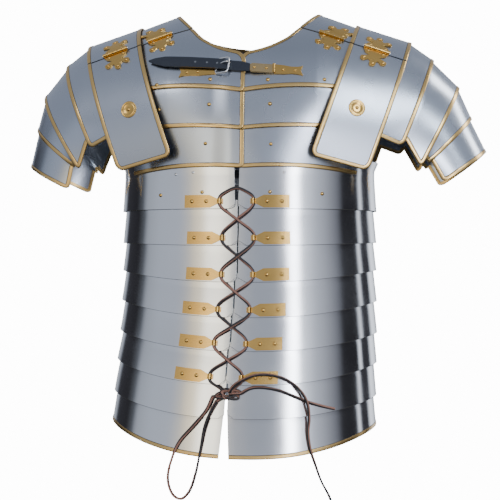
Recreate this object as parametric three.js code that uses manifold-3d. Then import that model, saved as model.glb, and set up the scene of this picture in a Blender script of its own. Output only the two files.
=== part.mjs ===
// Lorica segmentata: plate armour of curved steel bands with lobed brass hinges, tie plates,
// a strap and buckle at the neck, and a leather lace up the front and the back.
// Millimetres, +Z up, the front faces -Y and the wearer's left side is +X.
// The origin lies between the shoulders, level with the seats that rest on them.

import * as THREE from "three";
import Module from "manifold-3d";
import { mergeVertices } from "three/addons/utils/BufferGeometryUtils.js";

const wasm = await Module();
wasm.setup();

// Driving dimensions
const PLATE = 1.2; // steel thickness
const SEAT = 0.3; // clearance between pieces that rest on each other
const RIM = { wide: 5, high: 0.9, step: 0.6 }; // folded brass edging
const LAP = 12; // how far a band reaches under the one above
const SQUARENESS = 2.3; // superellipse exponent of the waist
const HOOP_COLUMNS = 12;
const BAND = { top: 0, waist: -1.2, foot: 3.3 }; // a band's stand-off at its top, below the lap, at its foot
const FRONT = -1;
const BACK = 1;
const LEFT = 1;
const RIGHT = -1;

// Girdle hoops: height of the lower edge at the front, side and back, where the front ends meet,
// and the gap there at the hoop's top and foot. The first row is the breast plates' lower edge.
const HOOPS = [
  { front: -217, side: -217, back: -217, meet: 0, gapTop: 2, gapFoot: 2 },
  { front: -272, side: -273, back: -273, meet: -6, gapTop: 8, gapFoot: 4 },
  { front: -321, side: -317, back: -315, meet: -4, gapTop: 2, gapFoot: 2 },
  { front: -370, side: -355, back: -351, meet: -5, gapTop: 2, gapFoot: 2 },
  { front: -417, side: -397, back: -390, meet: -9, gapTop: 2, gapFoot: 2 },
  { front: -462, side: -440, back: -432, meet: -12, gapTop: 2, gapFoot: 2 },
  { front: -507, side: -481, back: -471, meet: -15, gapTop: 2, gapFoot: 2 },
  { front: -552, side: -526, back: -514, meet: -13, gapTop: 2, gapFoot: 4 },
  { front: -605, side: -568, back: -552, meet: -14, gapTop: 4, gapFoot: 13 },
];
const LACED_HOOPS = 6;
const HOOP_CORNER = 6; // radius of the front lower corners

// The body under the plates: half width and half depth by height, and how the lower part leans.
const GIRTH = [
  { z: -640, wide: 184, deep: 142, lean: -10, tilt: 0.026 },
  { z: -520, wide: 181, deep: 141, lean: -6, tilt: 0.02 },
  { z: -420, wide: 177, deep: 138, lean: -1, tilt: 0.012 },
  { z: -330, wide: 175, deep: 136, lean: 0, tilt: 0 },
  { z: -225, wide: 176, deep: 136, lean: 0, tilt: 0 },
  { z: -165, wide: 205, deep: 135, lean: 0, tilt: 0 },
  { z: -113, wide: 245, deep: 129, lean: 0, tilt: 0 },
  { z: -90, wide: 255, deep: 121, lean: 0, tilt: 0 },
  { z: -62, wide: 260, deep: 107, lean: 0, tilt: 0 },
  { z: -40, wide: 260, deep: 87, lean: 0, tilt: 0 },
  { z: -21, wide: 260, deep: 62, lean: 0, tilt: 0 },
  { z: -8, wide: 260, deep: 38, lean: 0, tilt: 0 },
];
const SLOPE = { from: 100, fall: 0.27 }; // the shoulder falls away beyond this half width

// Breast and back plates, from the neck down: height of the lower edge at the middle line, half way
// out and at the outer side, and how far out the plate reaches at its top and foot.
const CHEST = [
  { name: "upper", middle: -115, half: -108, outer: -113, top: 145, foot: 152 },
  { name: "middle", middle: -166, half: -162, outer: -166, top: 150, foot: 148 },
  { name: "lower", middle: -217, half: -216, outer: -224, top: 148, foot: 152 },
];
const CHEST_BAND = { top: -0.1, foot: 2.9, neck: -0.8 }; // stand-off from the body
const CHEST_CORNER = 7;
const CHEST_NOTCH = { wide: 4.5, deep: 13.5 }; // upper inner corner of the plates that lap over
const CHEST_COLUMNS = {
  centre: [-1.5, 3.5, 6.1],
  upper: [12, 29, 42, 56, 74, 100, 125],
  other: [24, 52, 78, 100, 118, 132, 142],
};
const UPPER_TALL = 60;
// The plates of one side lap over the other's at the middle: lift fades out between flat and fade.
const CENTRE = { lap: 3.5, lift: PLATE + RIM.high + 2 * SEAT, flat: 12, fade: 42 };
// The upper plates' top edge: the neck line, then the line of the shoulder hinges.
const NECK_FRONT = [
  { x: 0, z: -60 },
  { x: 29, z: -52 },
  { x: 56, z: -38 },
  { x: 74, z: -20.5 },
  { x: 145, z: -44.5 },
];
const NECK_BACK = [
  { x: 0, z: -34 },
  { x: 29, z: -31 },
  { x: 56, z: -26 },
  { x: 74, z: -20.5 },
  { x: 145, z: -44.5 },
];
// The collar plates' ridge (x and z of its inner and outer end), sweep in degrees each way, length
// from hinge to hinge, and where the hinges stand across it.
const COLLAR = { inner: [99, 4.5], outer: [185, -27.2], sweep: 55, long: 150, hinge: 0.62 };

// Shoulder guards on the wearer's left: ridge point, and the front corner of the outer edge. turn is
// how many degrees the left one is lifted and the right one dropped, and reach is the share of the
// guard above that this one runs along.
const MAIN_INNER = { ridge: [152, -12], corner: [93, -143, -201] };
const GUARDS = [
  { ridge: [228, -37], corner: [169, -119, -221], turn: 0, reach: 1 },
  { ridge: [259, -63], corner: [213, -101, -188], turn: 1, reach: 0.84 },
  { ridge: [293, -104], corner: [234, -91, -217], turn: 2, reach: 0.95 },
  { ridge: [307, -150], corner: [243, -84, -212], turn: 3, reach: 0.93 },
  { ridge: [322, -199], corner: [258, -78, -240], turn: 4, reach: 0.97 },
];
const GUARD = { pivot: [200, -60], columns: 12, lap: 16, under: PLATE + RIM.high + SEAT, curve: 1.15 };
const GUARD_HINGE = { share: 0.38, across: 0.46, slit: 0.003 }; // on the quarter arch, from the ridge

// Fittings
const TIE = { reach: 16, eye: 8, neck: 8, taper: 10, plate: 34, wide: 17, thick: 1.3, rise: 10 };
const EYE = { hole: 4.6, wall: 1.4, bite: 0.9 };
const LEAF = { wide: 37, waist: 17, long: 29, thick: 1.1, clear: 0.2 }; // clear of a curved plate
const BARREL = { radius: 2.6, sides: 6 };
const ROSETTE = { radius: 11.5, share: 0.745, across: 0.46 };
const ON_PLATE = PLATE / 2 + SEAT; // from a plate's middle to the underside of what lies on it
const STRAP = { half: 7, thick: 2.4, high: 3.7, low: 0.6 };
const BUCKLE = { x: -26, z: -83, wide: 18, tall: 23, bar: 1.3, tongue: 1.1, pivot: 1.5, outer: 6.2 };
// Where the strap is slotted for the buckle's pivot and tongue.
const SLOT = { wide: 7.4, deep: 3.2, tall: 30, x: -1.1, out: 3 };
const TONGUE_UP = 3;
const TONGUE = [
  { x: -9, out: 1.5 },
  { x: -4.2, out: 1.8 },
  { x: -0.6, out: 5 },
  { x: 3, out: 8.2 },
  { x: 10, out: 8.3 },
];
const LACE = { wide: 3.4, sides: 6, freeSides: 8, turn: 12, spread: 0.35, apart: 5 };
const CROSSING = 3.9; // one strand of the lace stands this far over the other

// The strap's middle line: how high it lies, its half width, and how far it stands off the plates.
const STRAP_LINE = [
  { x: -128, z: -74.5, half: 1, out: STRAP.high },
  { x: -116, z: -74.8, half: STRAP.half, out: STRAP.high },
  { x: -100, z: -75.2, half: STRAP.half, out: STRAP.high },
  { x: -70, z: -76.5, half: STRAP.half, out: STRAP.high },
  { x: -45, z: -79, half: STRAP.half, out: STRAP.high },
  { x: -22, z: -80, half: STRAP.half, out: STRAP.high },
  { x: -13, z: -80, half: STRAP.half, out: STRAP.low },
  { x: 0, z: -80.5, half: STRAP.half, out: STRAP.low },
  { x: 10.6, z: -82, half: 5, out: STRAP.low },
];
const FITTING_RIGHT = [
  { x: -82, z: -84, half: 8, out: 0.3 },
  { x: -78, z: -84, half: 10, out: 0.3 },
  { x: -44, z: -84, half: 9, out: 0.3 },
  { x: -35, z: -83, half: 5, out: 0.3 },
];
const FITTING_LEFT_PLATE = [
  { x: 10.9, z: -82.5, half: 4.5, out: 0 },
  { x: 14, z: -82.5, half: 5.8, out: 0 },
  { x: 42.5, z: -84.5, half: 5.8, out: 0 },
];
const FITTING_LEFT_LEAF = [
  { x: 42.5, z: -84.5, half: 6.5, out: 0 },
  { x: 60, z: -86, half: 7.2, out: 0 },
  { x: 80, z: -87, half: 7.2, out: 0 },
];

// The free lace, by hand: x, z and how far it stands off the body.
const KNOT = { x: -17, z: -518, out: 9, half: [17, 5, 7] };
const BOW = [
  [-37.2, -521.5, 9],
  [-46, -540, 8],
  [-63.8, -561.1, 6.2],
  [-83.8, -584.4, 5.6],
  [-93.1, -606.3, 5.6],
  [-98.4, -627.6, 5.6],
  [-97.1, -642.2, 5.6],
  [-90, -655.5, 5.6],
  [-80, -659, 5.6],
  [-69, -649, 5.6],
  [-59.5, -622.3, 5.6],
  [-53.6, -591.7, 5.6],
  [-47.9, -561.1, 7.4],
  [-39.5, -541.1, 8.4],
  [-31.8, -527.2, 9],
];
const TAIL_LONG = [
  [-11, -509.2, 11.2],
  [-5.5, -504, 13.4],
  [1.4, -499.9, 14],
  [17.3, -493.3, 12.6],
  [33.9, -491.9, 10],
  [55.9, -496.6, 8.4],
  [72.5, -506.6, 9.4],
  [83.8, -519.9, 10.6],
  [89.1, -533.2, 10.6],
  [90.5, -553.1, 7],
  [89.1, -569.1, 5.6],
  [91.8, -591.7, 5.6],
  [98.5, -613, 5.6],
  [106.4, -635.6, 5.6],
  [117.1, -657.5, 5.6],
  [121.5, -674, 5.6],
  [123, -690, 5.6],
];
const TAIL_SHORT = [
  [-0.1, -517.2, 9],
  [11, -511.4, 7.4],
  [22.6, -509.4, 6.4],
  [50.6, -513.2, 5.5],
  [72.5, -521.9, 5.5],
  [89.1, -529.2, 5.5],
  [105.1, -534.5, 5.5],
  [123.7, -539.8, 5.5],
];

const STEEL = { color: 0xa4a8ae, metalness: 1, roughness: 0.3 };
const BRASS = { color: 0xc9a55c, metalness: 1, roughness: 0.35 };
const LEATHER = { color: 0x23252b, metalness: 0, roughness: 0.6 };
const THONG = { color: 0x5b3526, metalness: 0, roughness: 0.7 };

const vec = (x, y, z) => new THREE.Vector3(x, y, z);
const mix = (a, b, t) => a + (b - a) * t;
const clamp = THREE.MathUtils.clamp;
const radians = THREE.MathUtils.degToRad;
const mirrored = (p, side) => vec(side * p.x, p.y, p.z);
const evenly = (count) => Array.from({ length: count + 1 }, (_, i) => i / count);

// A table's value along straight lines between its rows, which rise in the key column.
function lookUp(table, key, value, column) {
  if (value <= table[0][key]) return table[0][column];
  for (let i = 1; i < table.length; i++) {
    const low = table[i - 1];
    const high = table[i];
    if (value <= high[key]) return mix(low[column], high[column], (value - low[key]) / (high[key] - low[key]));
  }
  return table[table.length - 1][column];
}

// Solids

function indexed(points, faces) {
  const made = new THREE.BufferGeometry();
  made.setAttribute("position", new THREE.Float32BufferAttribute(points.flatMap((p) => [p.x, p.y, p.z]), 3));
  made.setIndex(faces);
  return made;
}

// A closed wall over a grid of a surface's middle points. facing is 1 where the outward side is along
// the cross product of the column and row directions. raised lists rows that stand out as edging.
function wall(surface, { columns, rows, facing = 1, thick = PLATE, lift = 0, raised = [] }) {
  const outer = [];
  const inner = [];
  const small = 1e-3;
  for (const s of columns) {
    rows.forEach((w, j) => {
      const ds = surface(Math.min(s + small, 1), w).sub(surface(Math.max(s - small, 0), w));
      const dw = surface(s, Math.min(w + small, 1)).sub(surface(s, Math.max(w - small, 0)));
      const normal = ds.cross(dw).normalize().multiplyScalar(facing);
      const p = surface(s, w).addScaledVector(normal, lift);
      const proud = raised.includes(j) ? RIM.high : 0;
      outer.push(p.clone().addScaledVector(normal, thick / 2 + proud));
      inner.push(p.clone().addScaledVector(normal, -thick / 2));
    });
  }
  const n = rows.length;
  const under = outer.length;
  const faces = [];
  const quad = (a, b, c, d) => faces.push(...(facing > 0 ? [a, b, c, a, c, d] : [c, b, a, d, c, a]));
  for (let i = 0; i < columns.length - 1; i++) {
    for (let j = 0; j < n - 1; j++) {
      const a = i * n + j;
      quad(a, a + n, a + n + 1, a + 1);
      quad(under + a, under + a + 1, under + a + n + 1, under + a + n);
    }
    const first = i * n;
    const last = first + n - 1;
    quad(first, under + first, under + first + n, first + n);
    quad(last, last + n, under + last + n, under + last);
  }
  const end = (columns.length - 1) * n;
  for (let j = 0; j < n - 1; j++) {
    quad(j, j + 1, under + j + 1, under + j);
    quad(end + j, under + end + j, under + end + j + 1, end + j + 1);
  }
  return indexed([...outer, ...inner], faces);
}

function solid(geometry) {
  const bare = geometry.clone();
  bare.deleteAttribute("normal");
  bare.deleteAttribute("uv");
  const merged = mergeVertices(bare, 1e-4);
  const vertProperties = new Float32Array(merged.attributes.position.array);
  const triVerts = new Uint32Array(merged.index.array);
  return new wasm.Manifold(new wasm.Mesh({ numProp: 3, vertProperties, triVerts }));
}

function geometryOf(manifold) {
  const mesh = manifold.getMesh();
  const made = new THREE.BufferGeometry();
  made.setAttribute("position", new THREE.BufferAttribute(new Float32Array(mesh.vertProperties), 3));
  made.setIndex(new THREE.BufferAttribute(new Uint32Array(mesh.triVerts), 1));
  return made;
}

function joined(first, ...others) {
  return geometryOf(others.reduce((whole, part) => whole.add(solid(part)), solid(first)));
}

// Rows from the top to the foot of a plate this tall, with the edging's two rows at the foot.
function edgedRows(tall, inside) {
  const rows = [0, ...inside, 1 - (RIM.wide + RIM.step) / tall, 1 - RIM.wide / tall, 1];
  return { rows, raised: [rows.length - 2, rows.length - 1] };
}

// How far a rounded corner draws an edge in, at a distance from the corner.
function rounding(distance, radius) {
  return distance >= radius ? 0 : radius - Math.sqrt(radius ** 2 - (radius - distance) ** 2);
}

// Places a piece on a surface: x along the surface's first direction, z outward.
function frameOn(surface, s, w, facing, lift) {
  const small = 1e-3;
  const x = surface(s + small, w).sub(surface(s - small, w)).normalize();
  const across = surface(s, w + small).sub(surface(s, w - small));
  const z = x.clone().cross(across).normalize().multiplyScalar(facing);
  const y = z.clone().cross(x);
  const m = new THREE.Matrix4().makeBasis(x, y, z);
  return m.setPosition(surface(s, w).addScaledVector(z, lift));
}

function outline(points, Kind = THREE.Shape) {
  const made = new Kind();
  points.forEach(([x, y], i) => (i ? made.lineTo(x, y) : made.moveTo(x, y)));
  made.closePath();
  return made;
}

function extruded(shape, depth) {
  return new THREE.ExtrudeGeometry(shape, { depth, bevelEnabled: false });
}

// A curve that an extrusion samples evenly between its own points, so that it meets each of them.
class Route extends THREE.CatmullRomCurve3 {
  getPointAt(share, target) {
    return this.getPoint(share, target);
  }
  getTangentAt(share, target) {
    return this.getTangent(share, target);
  }
}

function tube(points, stepsEach, sides, diameter) {
  const ring = evenly(sides).slice(1).map((share) => {
    const angle = share * 2 * Math.PI;
    return [(diameter / 2) * Math.cos(angle), (diameter / 2) * Math.sin(angle)];
  });
  const extrudePath = new Route(points, false, "centripetal");
  const steps = (points.length - 1) * stepsEach;
  return new THREE.ExtrudeGeometry(outline(ring), { steps, extrudePath, bevelEnabled: false });
}

// Girdle

function waistPoint(side, angle, z, offset) {
  const bend = (value) => Math.sign(value) * Math.abs(value) ** (2 / SQUARENESS);
  const wide = lookUp(GIRTH, "z", z, "wide") + offset;
  const deep = lookUp(GIRTH, "z", z, "deep") + offset;
  const x = side * wide * bend(Math.sin(angle)) + lookUp(GIRTH, "z", z, "lean");
  return vec(x, -deep * bend(Math.cos(angle)), z - lookUp(GIRTH, "z", z, "tilt") * x);
}

// The angle at which the waist is this far from the middle line.
function angleAt(distance, wide) {
  return Math.sign(distance) * Math.asin((Math.abs(distance) / wide) ** (SQUARENESS / 2));
}

function footHeight(hoop, angle) {
  return mix(hoop.side, Math.cos(angle) > 0 ? hoop.front : hoop.back, Math.cos(angle) ** 2);
}

const hoopTall = (index) => HOOPS[index - 1].front + LAP - HOOPS[index].front;

// A hoop half over the angle from the front (0) to the back (half a turn) and the share down it.
function hoopAt(index, side) {
  const lap = LAP / hoopTall(index);
  return (angle, w) => {
    const z = mix(footHeight(HOOPS[index - 1], angle) + LAP, footHeight(HOOPS[index], angle), w);
    const down = (w - lap) / (1 - lap);
    const offset = w < lap ? mix(BAND.top, BAND.waist, w / lap) : mix(BAND.waist, BAND.foot, down);
    return waistPoint(side, angle, z, offset);
  };
}

function hoopAngles(index, side, w) {
  const hoop = HOOPS[index];
  const wide = GIRTH[0].wide;
  const start = angleAt(side * hoop.meet + mix(hoop.gapTop, hoop.gapFoot, w) / 2, wide);
  const end = Math.PI - angleAt(1, wide);
  return evenly(HOOP_COLUMNS).map((share, i) => (i === 0 ? start : i === HOOP_COLUMNS ? end : share * Math.PI));
}

// The half as faceted: straight between its columns.
function hoopFacets(index, side) {
  const at = hoopAt(index, side);
  return (s, w) => {
    const angles = hoopAngles(index, side, w);
    const i = clamp(Math.floor(s * HOOP_COLUMNS), 0, HOOP_COLUMNS - 1);
    return at(angles[i], w).lerp(at(angles[i + 1], w), s * HOOP_COLUMNS - i);
  };
}

// The share along a faceted half at which it is this far from the half's own end.
function shareAt(facets, distance, w, atBack) {
  let low = atBack ? 0.5 : 0;
  let high = atBack ? 1 : 0.5;
  const end = facets(atBack ? 1 : 0, w).x;
  for (let i = 0; i < 30; i++) {
    const s = (low + high) / 2;
    const beyond = Math.abs(facets(s, w).x - end) > distance;
    if (beyond === atBack) low = s;
    else high = s;
  }
  return (low + high) / 2;
}

const tieDown = (index) => 1 - TIE.rise / hoopTall(index);

// The tie plate lies on the hoop, from its neck to the outer end.
function tiePlate(index, side, atBack) {
  const facets = hoopFacets(index, side);
  const down = tieDown(index);
  const stops = [
    { x: 0, half: TIE.neck / 2 },
    { x: TIE.eye, half: TIE.neck / 2 },
    { x: TIE.eye + TIE.taper, half: TIE.wide / 2 },
    { x: TIE.eye + TIE.taper + TIE.plate, half: TIE.wide / 2 },
  ];
  const last = stops[stops.length - 1].x;
  const surface = (s, w) => {
    const x = s * last;
    const half = lookUp(stops, "x", x, "half") / hoopTall(index);
    return facets(shareAt(facets, TIE.reach + x, down, atBack), down + (2 * w - 1) * half);
  };
  const fold = atBack ? HOOP_COLUMNS - 1 : 1;
  const end = facets(atBack ? 1 : 0, down).x;
  const bend = clamp((Math.abs(facets(fold / HOOP_COLUMNS, down).x - end) - TIE.reach) / last, 0.4, 0.97);
  return wall(surface, {
    columns: [...stops.map((stop) => stop.x / last), bend].sort((a, b) => a - b),
    rows: [0, 1],
    facing: -side * (atBack ? -1 : 1),
    thick: TIE.thick + SEAT,
    lift: PLATE / 2 + (TIE.thick - SEAT) / 2,
  });
}

function eyeFrame(index, side, atBack) {
  const facets = hoopFacets(index, side);
  const down = tieDown(index);
  const share = shareAt(facets, TIE.reach + TIE.eye / 2, down, atBack);
  return frameOn(facets, share, down, -side, PLATE / 2 + TIE.thick);
}

// An upright bow over the tie plate's neck, which the lace runs through.
function eye(index, side, atBack) {
  const out = EYE.hole / 2 + EYE.wall;
  const high = EYE.hole + EYE.wall;
  const bow = outline([[-out, -EYE.bite], [out, -EYE.bite], [out, high], [-out, high]]);
  const half = EYE.hole / 2;
  bow.holes.push(outline([[-half, 0], [-half, EYE.hole], [half, EYE.hole], [half, 0]], THREE.Path));
  const long = TIE.neck - 1;
  const made = extruded(bow, long).translate(0, 0, -long / 2).rotateX(Math.PI / 2);
  return made.applyMatrix4(eyeFrame(index, side, atBack));
}

function hoop(index, side) {
  const tall = hoopTall(index);
  const facets = hoopFacets(index, side);
  const first = facets(1 / HOOP_COLUMNS, 0.5).distanceTo(facets(0, 0.5)) * HOOP_COLUMNS;
  const rounded = index < HOOPS.length - 1;
  const surface = (s, w) => facets(s, w * (1 - (rounded ? rounding(s * first, HOOP_CORNER) / tall : 0)));
  const corner = rounded ? [HOOP_CORNER / 3 / first, HOOP_CORNER / first] : [];
  const columns = [0, ...corner, ...evenly(HOOP_COLUMNS).slice(1)];
  let made = wall(surface, { columns, rows: [0, LAP / tall, 1], facing: -side });
  if (index > LACED_HOOPS) return made;
  for (const atBack of [false, true]) {
    made = joined(made, tiePlate(index, side, atBack), eye(index, side, atBack));
  }
  return made;
}

// Breast and back plates

function chestPoint(face, x, z, offset) {
  const level = z + Math.max(0, Math.abs(x) - SLOPE.from) * SLOPE.fall;
  const wide = lookUp(GIRTH, "z", z, "wide") + offset;
  const deep = lookUp(GIRTH, "z", level, "deep") + offset;
  const lateral = Math.max(0, 1 - (Math.abs(x) / wide) ** SQUARENESS) ** (1 / SQUARENESS);
  return vec(x, face * deep * lateral, z);
}

function chestFoot(row, x) {
  const share = clamp(x / row.foot, 0, 1);
  const bulge = row.half - (row.middle + row.outer) / 2;
  return mix(row.middle, row.outer, share) + 4 * bulge * share * (1 - share);
}

// How far the lapping plates stand out near the middle line.
function centreLift(x) {
  return CENTRE.lift * (1 - clamp((x - CENTRE.flat) / (CENTRE.fade - CENTRE.flat), 0, 1));
}

// A plate over its shares out from the middle line and down from its top edge. The one that laps
// over its neighbour is notched at its upper corner, where it would meet the neighbour's own row.
function chestAt(index, side, face) {
  const row = CHEST[index];
  const above = CHEST[index - 1];
  const over = face * side > 0;
  const neck = face === FRONT ? NECK_FRONT : NECK_BACK;
  return (s, w) => {
    const x = mix(-CENTRE.lap, mix(row.top, row.foot, w), s);
    const notch = over && x < CHEST_NOTCH.wide ? CHEST_NOTCH.deep : 0;
    const top = above ? chestFoot(above, x) + LAP - notch : lookUp(neck, "x", x, "z") - SEAT;
    const z = mix(top, chestFoot(row, x), w);
    const offset = mix(above ? CHEST_BAND.top : CHEST_BAND.neck, CHEST_BAND.foot, w);
    return mirrored(chestPoint(face, x, z, offset + (over ? centreLift(x) : 0)), side);
  };
}

function chestPlate(index, side, face) {
  const row = CHEST[index];
  const tall = index ? CHEST[index - 1].middle + LAP - row.middle : UPPER_TALL;
  const length = row.foot + CENTRE.lap;
  const share = (x) => (x + CENTRE.lap) / length;
  const at = chestAt(index, side, face);
  const surface = (s, w) => at(s, w * (1 - rounding(s * length, CHEST_CORNER) / tall));
  const inside = [...CHEST_COLUMNS.centre, ...(index ? CHEST_COLUMNS.other : CHEST_COLUMNS.upper)];
  const columns = [0, ...inside.map(share), 1];
  return wall(surface, { columns, ...edgedRows(tall, index ? [0.4] : [0.25, 0.55]), facing: side * face });
}

// The collar plate bridges the shoulder, from the front hinge line to the back one. across runs from
// the neck edge outward and share from the front line to the back line.
function collarAt(share, across) {
  const sweep = radians(COLLAR.sweep);
  const angle = (2 * share - 1) * sweep;
  const high = (Math.cos(angle) - Math.cos(sweep)) / (1 - Math.cos(sweep));
  const lineX = mix(NECK_FRONT[3].x, NECK_FRONT[4].x, across);
  const low = chestPoint(FRONT, lineX, lookUp(NECK_FRONT, "x", lineX, "z") + SEAT, CHEST_BAND.neck);
  const x = mix(low.x, mix(COLLAR.inner[0], COLLAR.outer[0], across), high);
  const z = mix(low.z, mix(COLLAR.inner[1], COLLAR.outer[1], across), high);
  return vec(x, (low.y * -Math.sin(angle)) / Math.sin(sweep), z);
}

function collarPlate(side) {
  const surface = (s, w) => mirrored(collarAt(s, w), side);
  return wall(surface, { columns: evenly(10), rows: [0, 0.4, 1], facing: -side });
}

// Shoulder guards

const between = (from, to, count) => evenly(count).map((share) => mix(from, to, share));
const MAIN_TOP = between(-GUARD_HINGE.share, GUARD_HINGE.share, 6);
const MAIN_BACK = between(GUARD_HINGE.share + GUARD_HINGE.slit, 1, 5);
const MAIN_FRONT = MAIN_BACK.map((share) => -share).reverse();
const MAIN_STOPS = [...MAIN_FRONT, ...MAIN_TOP, ...MAIN_BACK];
const STRIP_STOPS = between(-1, 1, GUARD.columns);

// An edge from the front corner (share -1) over the ridge to the back corner (share 1): a quarter
// ellipse each way, leaning in towards the corners.
function arch(ridge, corner) {
  return (share) => {
    const angle = (share * Math.PI) / 2;
    const fall = 1 - Math.cos(angle);
    const x = mix(ridge[0], corner[0], fall ** GUARD.curve);
    return vec(x, -corner[1] * Math.sin(angle), mix(ridge[1], corner[2], fall));
  };
}

function turned(p, side, degrees) {
  const angle = radians(side * degrees);
  const x = p.x - GUARD.pivot[0];
  const z = p.z - GUARD.pivot[1];
  const turnedX = GUARD.pivot[0] + x * Math.cos(angle) - z * Math.sin(angle);
  return vec(turnedX, p.y, GUARD.pivot[1] + x * Math.sin(angle) + z * Math.cos(angle));
}

// A point inward of a guard, so that the next one clears it.
function inward(surface, share, w, depth) {
  const small = 2e-3;
  const ds = surface(Math.min(share + small, 1), w).sub(surface(Math.max(share - small, -1), w));
  const dw = surface(share, Math.min(w + small, 1)).sub(surface(share, Math.max(w - small, 0)));
  return surface(share, w).addScaledVector(dw.cross(ds).normalize(), -depth);
}

// A guard as faceted: straight between its columns, so that what is tucked under it clears it.
function faceted(at, stops) {
  return (share, w) => {
    const i = clamp(stops.findIndex((stop) => stop > share) - 1, 0, stops.length - 2);
    const low = share >= stops[stops.length - 1] ? stops.length - 2 : i;
    return at(stops[low], w).lerp(at(stops[low + 1], w), (share - stops[low]) / (stops[low + 1] - stops[low]));
  };
}

// Each guard of one side over share (front corner to back corner) and w (inner to outer edge), in the
// wearer's left frame. lap is the part of w that is tucked under the guard above.
function guardSurfaces(side) {
  const inner = arch(MAIN_INNER.ridge, MAIN_INNER.corner);
  const outer = arch(GUARDS[0].ridge, GUARDS[0].corner);
  const main = (share, w) => inner(share).lerp(outer(share), w);
  const found = [{ at: faceted(main, MAIN_STOPS), lap: 0 }];
  for (const guard of GUARDS.slice(1)) {
    const above = found[found.length - 1].at;
    const tuck = 1 - GUARD.lap / above(0, 1).distanceTo(above(0, 0));
    const tucked = (share) => inward(above, share * guard.reach, tuck, GUARD.under);
    const under = (share) => inward(above, share * guard.reach, 1, GUARD.under);
    const own = arch(guard.ridge, guard.corner);
    const edge = (share) => turned(own(share), side, guard.turn);
    const lap = GUARD.lap / (GUARD.lap + edge(0).distanceTo(under(0)));
    const at = (share, w) =>
      w < lap ? tucked(share).lerp(under(share), w / lap) : under(share).lerp(edge(share), (w - lap) / (1 - lap));
    found.push({ at: faceted(at, STRIP_STOPS), lap });
  }
  return found;
}

function guardPiece(guard, side, stops) {
  const width = guard.at(0, 1).distanceTo(guard.at(0, 0));
  const from = stops[0];
  const to = stops[stops.length - 1];
  const surface = (s, w) => mirrored(guard.at(mix(from, to, s), w), side);
  const columns = stops.map((stop) => (stop - from) / (to - from));
  return wall(surface, { columns, ...edgedRows(width, guard.lap ? [guard.lap] : [0.5]), facing: side });
}

// Brass fittings

// One leaf of a lobed hinge in its own plane, with its barrel end at -y and its lobes at +y.
function hingeLeaf() {
  const half = LEAF.wide / 2;
  const neck = LEAF.waist / 2;
  const top = LEAF.long / 2;
  const right = [
    [half, -top],
    [half, -top + 4],
    [neck, -2],
    [half - 3, 1.5],
    [half, 5],
    [half - 3, 9],
    [neck, 9.5],
    [neck - 4.5, top],
  ];
  const left = right.map(([x, y]) => [-x, y]).reverse();
  return extruded(outline([...right, ...left]), LEAF.thick);
}

// A whole hinge: a leaf each way from a line of a surface, and the barrel between them. The line runs
// along the surface's second value at a fixed first one. facing is 1 where the outward side is along
// the cross product of the second direction and the first.
function hinge(at, line, along, facing) {
  const local = (share) => (s, t) => at(share + t, along + s);
  const barrel = new THREE.CylinderGeometry(BARREL.radius, BARREL.radius, LEAF.wide, BARREL.sides);
  barrel.rotateY(Math.PI / BARREL.sides).rotateZ(Math.PI / 2);
  barrel.applyMatrix4(frameOn(local(line), 0, 0, facing, ON_PLATE + BARREL.radius));
  const leaves = [-1, 1].map((way) => {
    const step = way * 1e-3;
    const perUnit = at(line + 2 * step, along).distanceTo(at(line + step, along)) / Math.abs(step);
    const share = line + (way * LEAF.long) / 2 / perUnit;
    const leaf = hingeLeaf();
    if (way * facing < 0) leaf.rotateZ(Math.PI);
    return leaf.applyMatrix4(frameOn(local(share), 0, 0, facing, ON_PLATE + LEAF.clear));
  });
  return joined(barrel, ...leaves);
}

// Over the collar's front hinge line: down the breast plate for negative values, up the collar plate
// for positive ones, in millimetres.
function collarLineAt(face, side) {
  return (step, across) => {
    const x = mix(NECK_FRONT[3].x, NECK_FRONT[4].x, across);
    const below = () => chestPoint(FRONT, x, lookUp(NECK_FRONT, "x", x, "z") + step, CHEST_BAND.neck);
    const p = step < 0 ? below() : collarAt(step / COLLAR.long, across);
    return vec(side * p.x, face === FRONT ? p.y : -p.y, p.z);
  };
}

// A dished disc with a domed rivet, in its own plane.
function rosette() {
  const r = ROSETTE.radius;
  const profile = [
    [0, -0.6],
    [r, -0.6],
    [r, 1.2],
    [r - 2, 2.2],
    [r * 0.45, 1.2],
    [r * 0.3, 3],
    [0, 3.4],
  ];
  return new THREE.LatheGeometry(profile.map(([x, y]) => new THREE.Vector2(x, y)), 14).rotateX(Math.PI / 2);
}

function mainLeaf(guard, side, face) {
  const leaf = guardPiece(guard, side, face === FRONT ? MAIN_FRONT : MAIN_BACK);
  if (face === BACK) return leaf;
  const surface = (s, t) => mirrored(guard.at(-ROSETTE.share + t, ROSETTE.across + s), side);
  return joined(leaf, rosette().applyMatrix4(frameOn(surface, 0, 0, side, PLATE / 2)));
}

// Strap, buckle and their fittings, on the upper breast plates

// A point off the upper breast plates' middle surface, which is level across the middle line.
function breastAt(x, z, out) {
  const top = lookUp(NECK_FRONT, "x", Math.abs(x), "z");
  const share = clamp((top - z) / (top - chestFoot(CHEST[0], Math.abs(x))), 0, 1);
  return chestPoint(FRONT, x, z, mix(CHEST_BAND.neck, CHEST_BAND.foot, share) + centreLift(Math.abs(x)) + out);
}

// A flat piece along a line of the table's rows, with its underside out from the plates.
function breastPiece(line, thick, rows) {
  const from = line[0].x;
  const to = line[line.length - 1].x;
  const surface = (s, w) => {
    const x = mix(from, to, s);
    const read = (column) => lookUp(line, "x", x, column);
    return breastAt(x, read("z") + read("half") * (1 - 2 * w), ON_PLATE + read("out") + thick / 2);
  };
  const columns = line.map((row) => (row.x - from) / (to - from));
  return wall(surface, { columns, rows, facing: -1, thick });
}

const breastFrame = (x, z) => frameOn((s, w) => breastAt(x + s, z - w, 0), 0, 0, -1, ON_PLATE);

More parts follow.
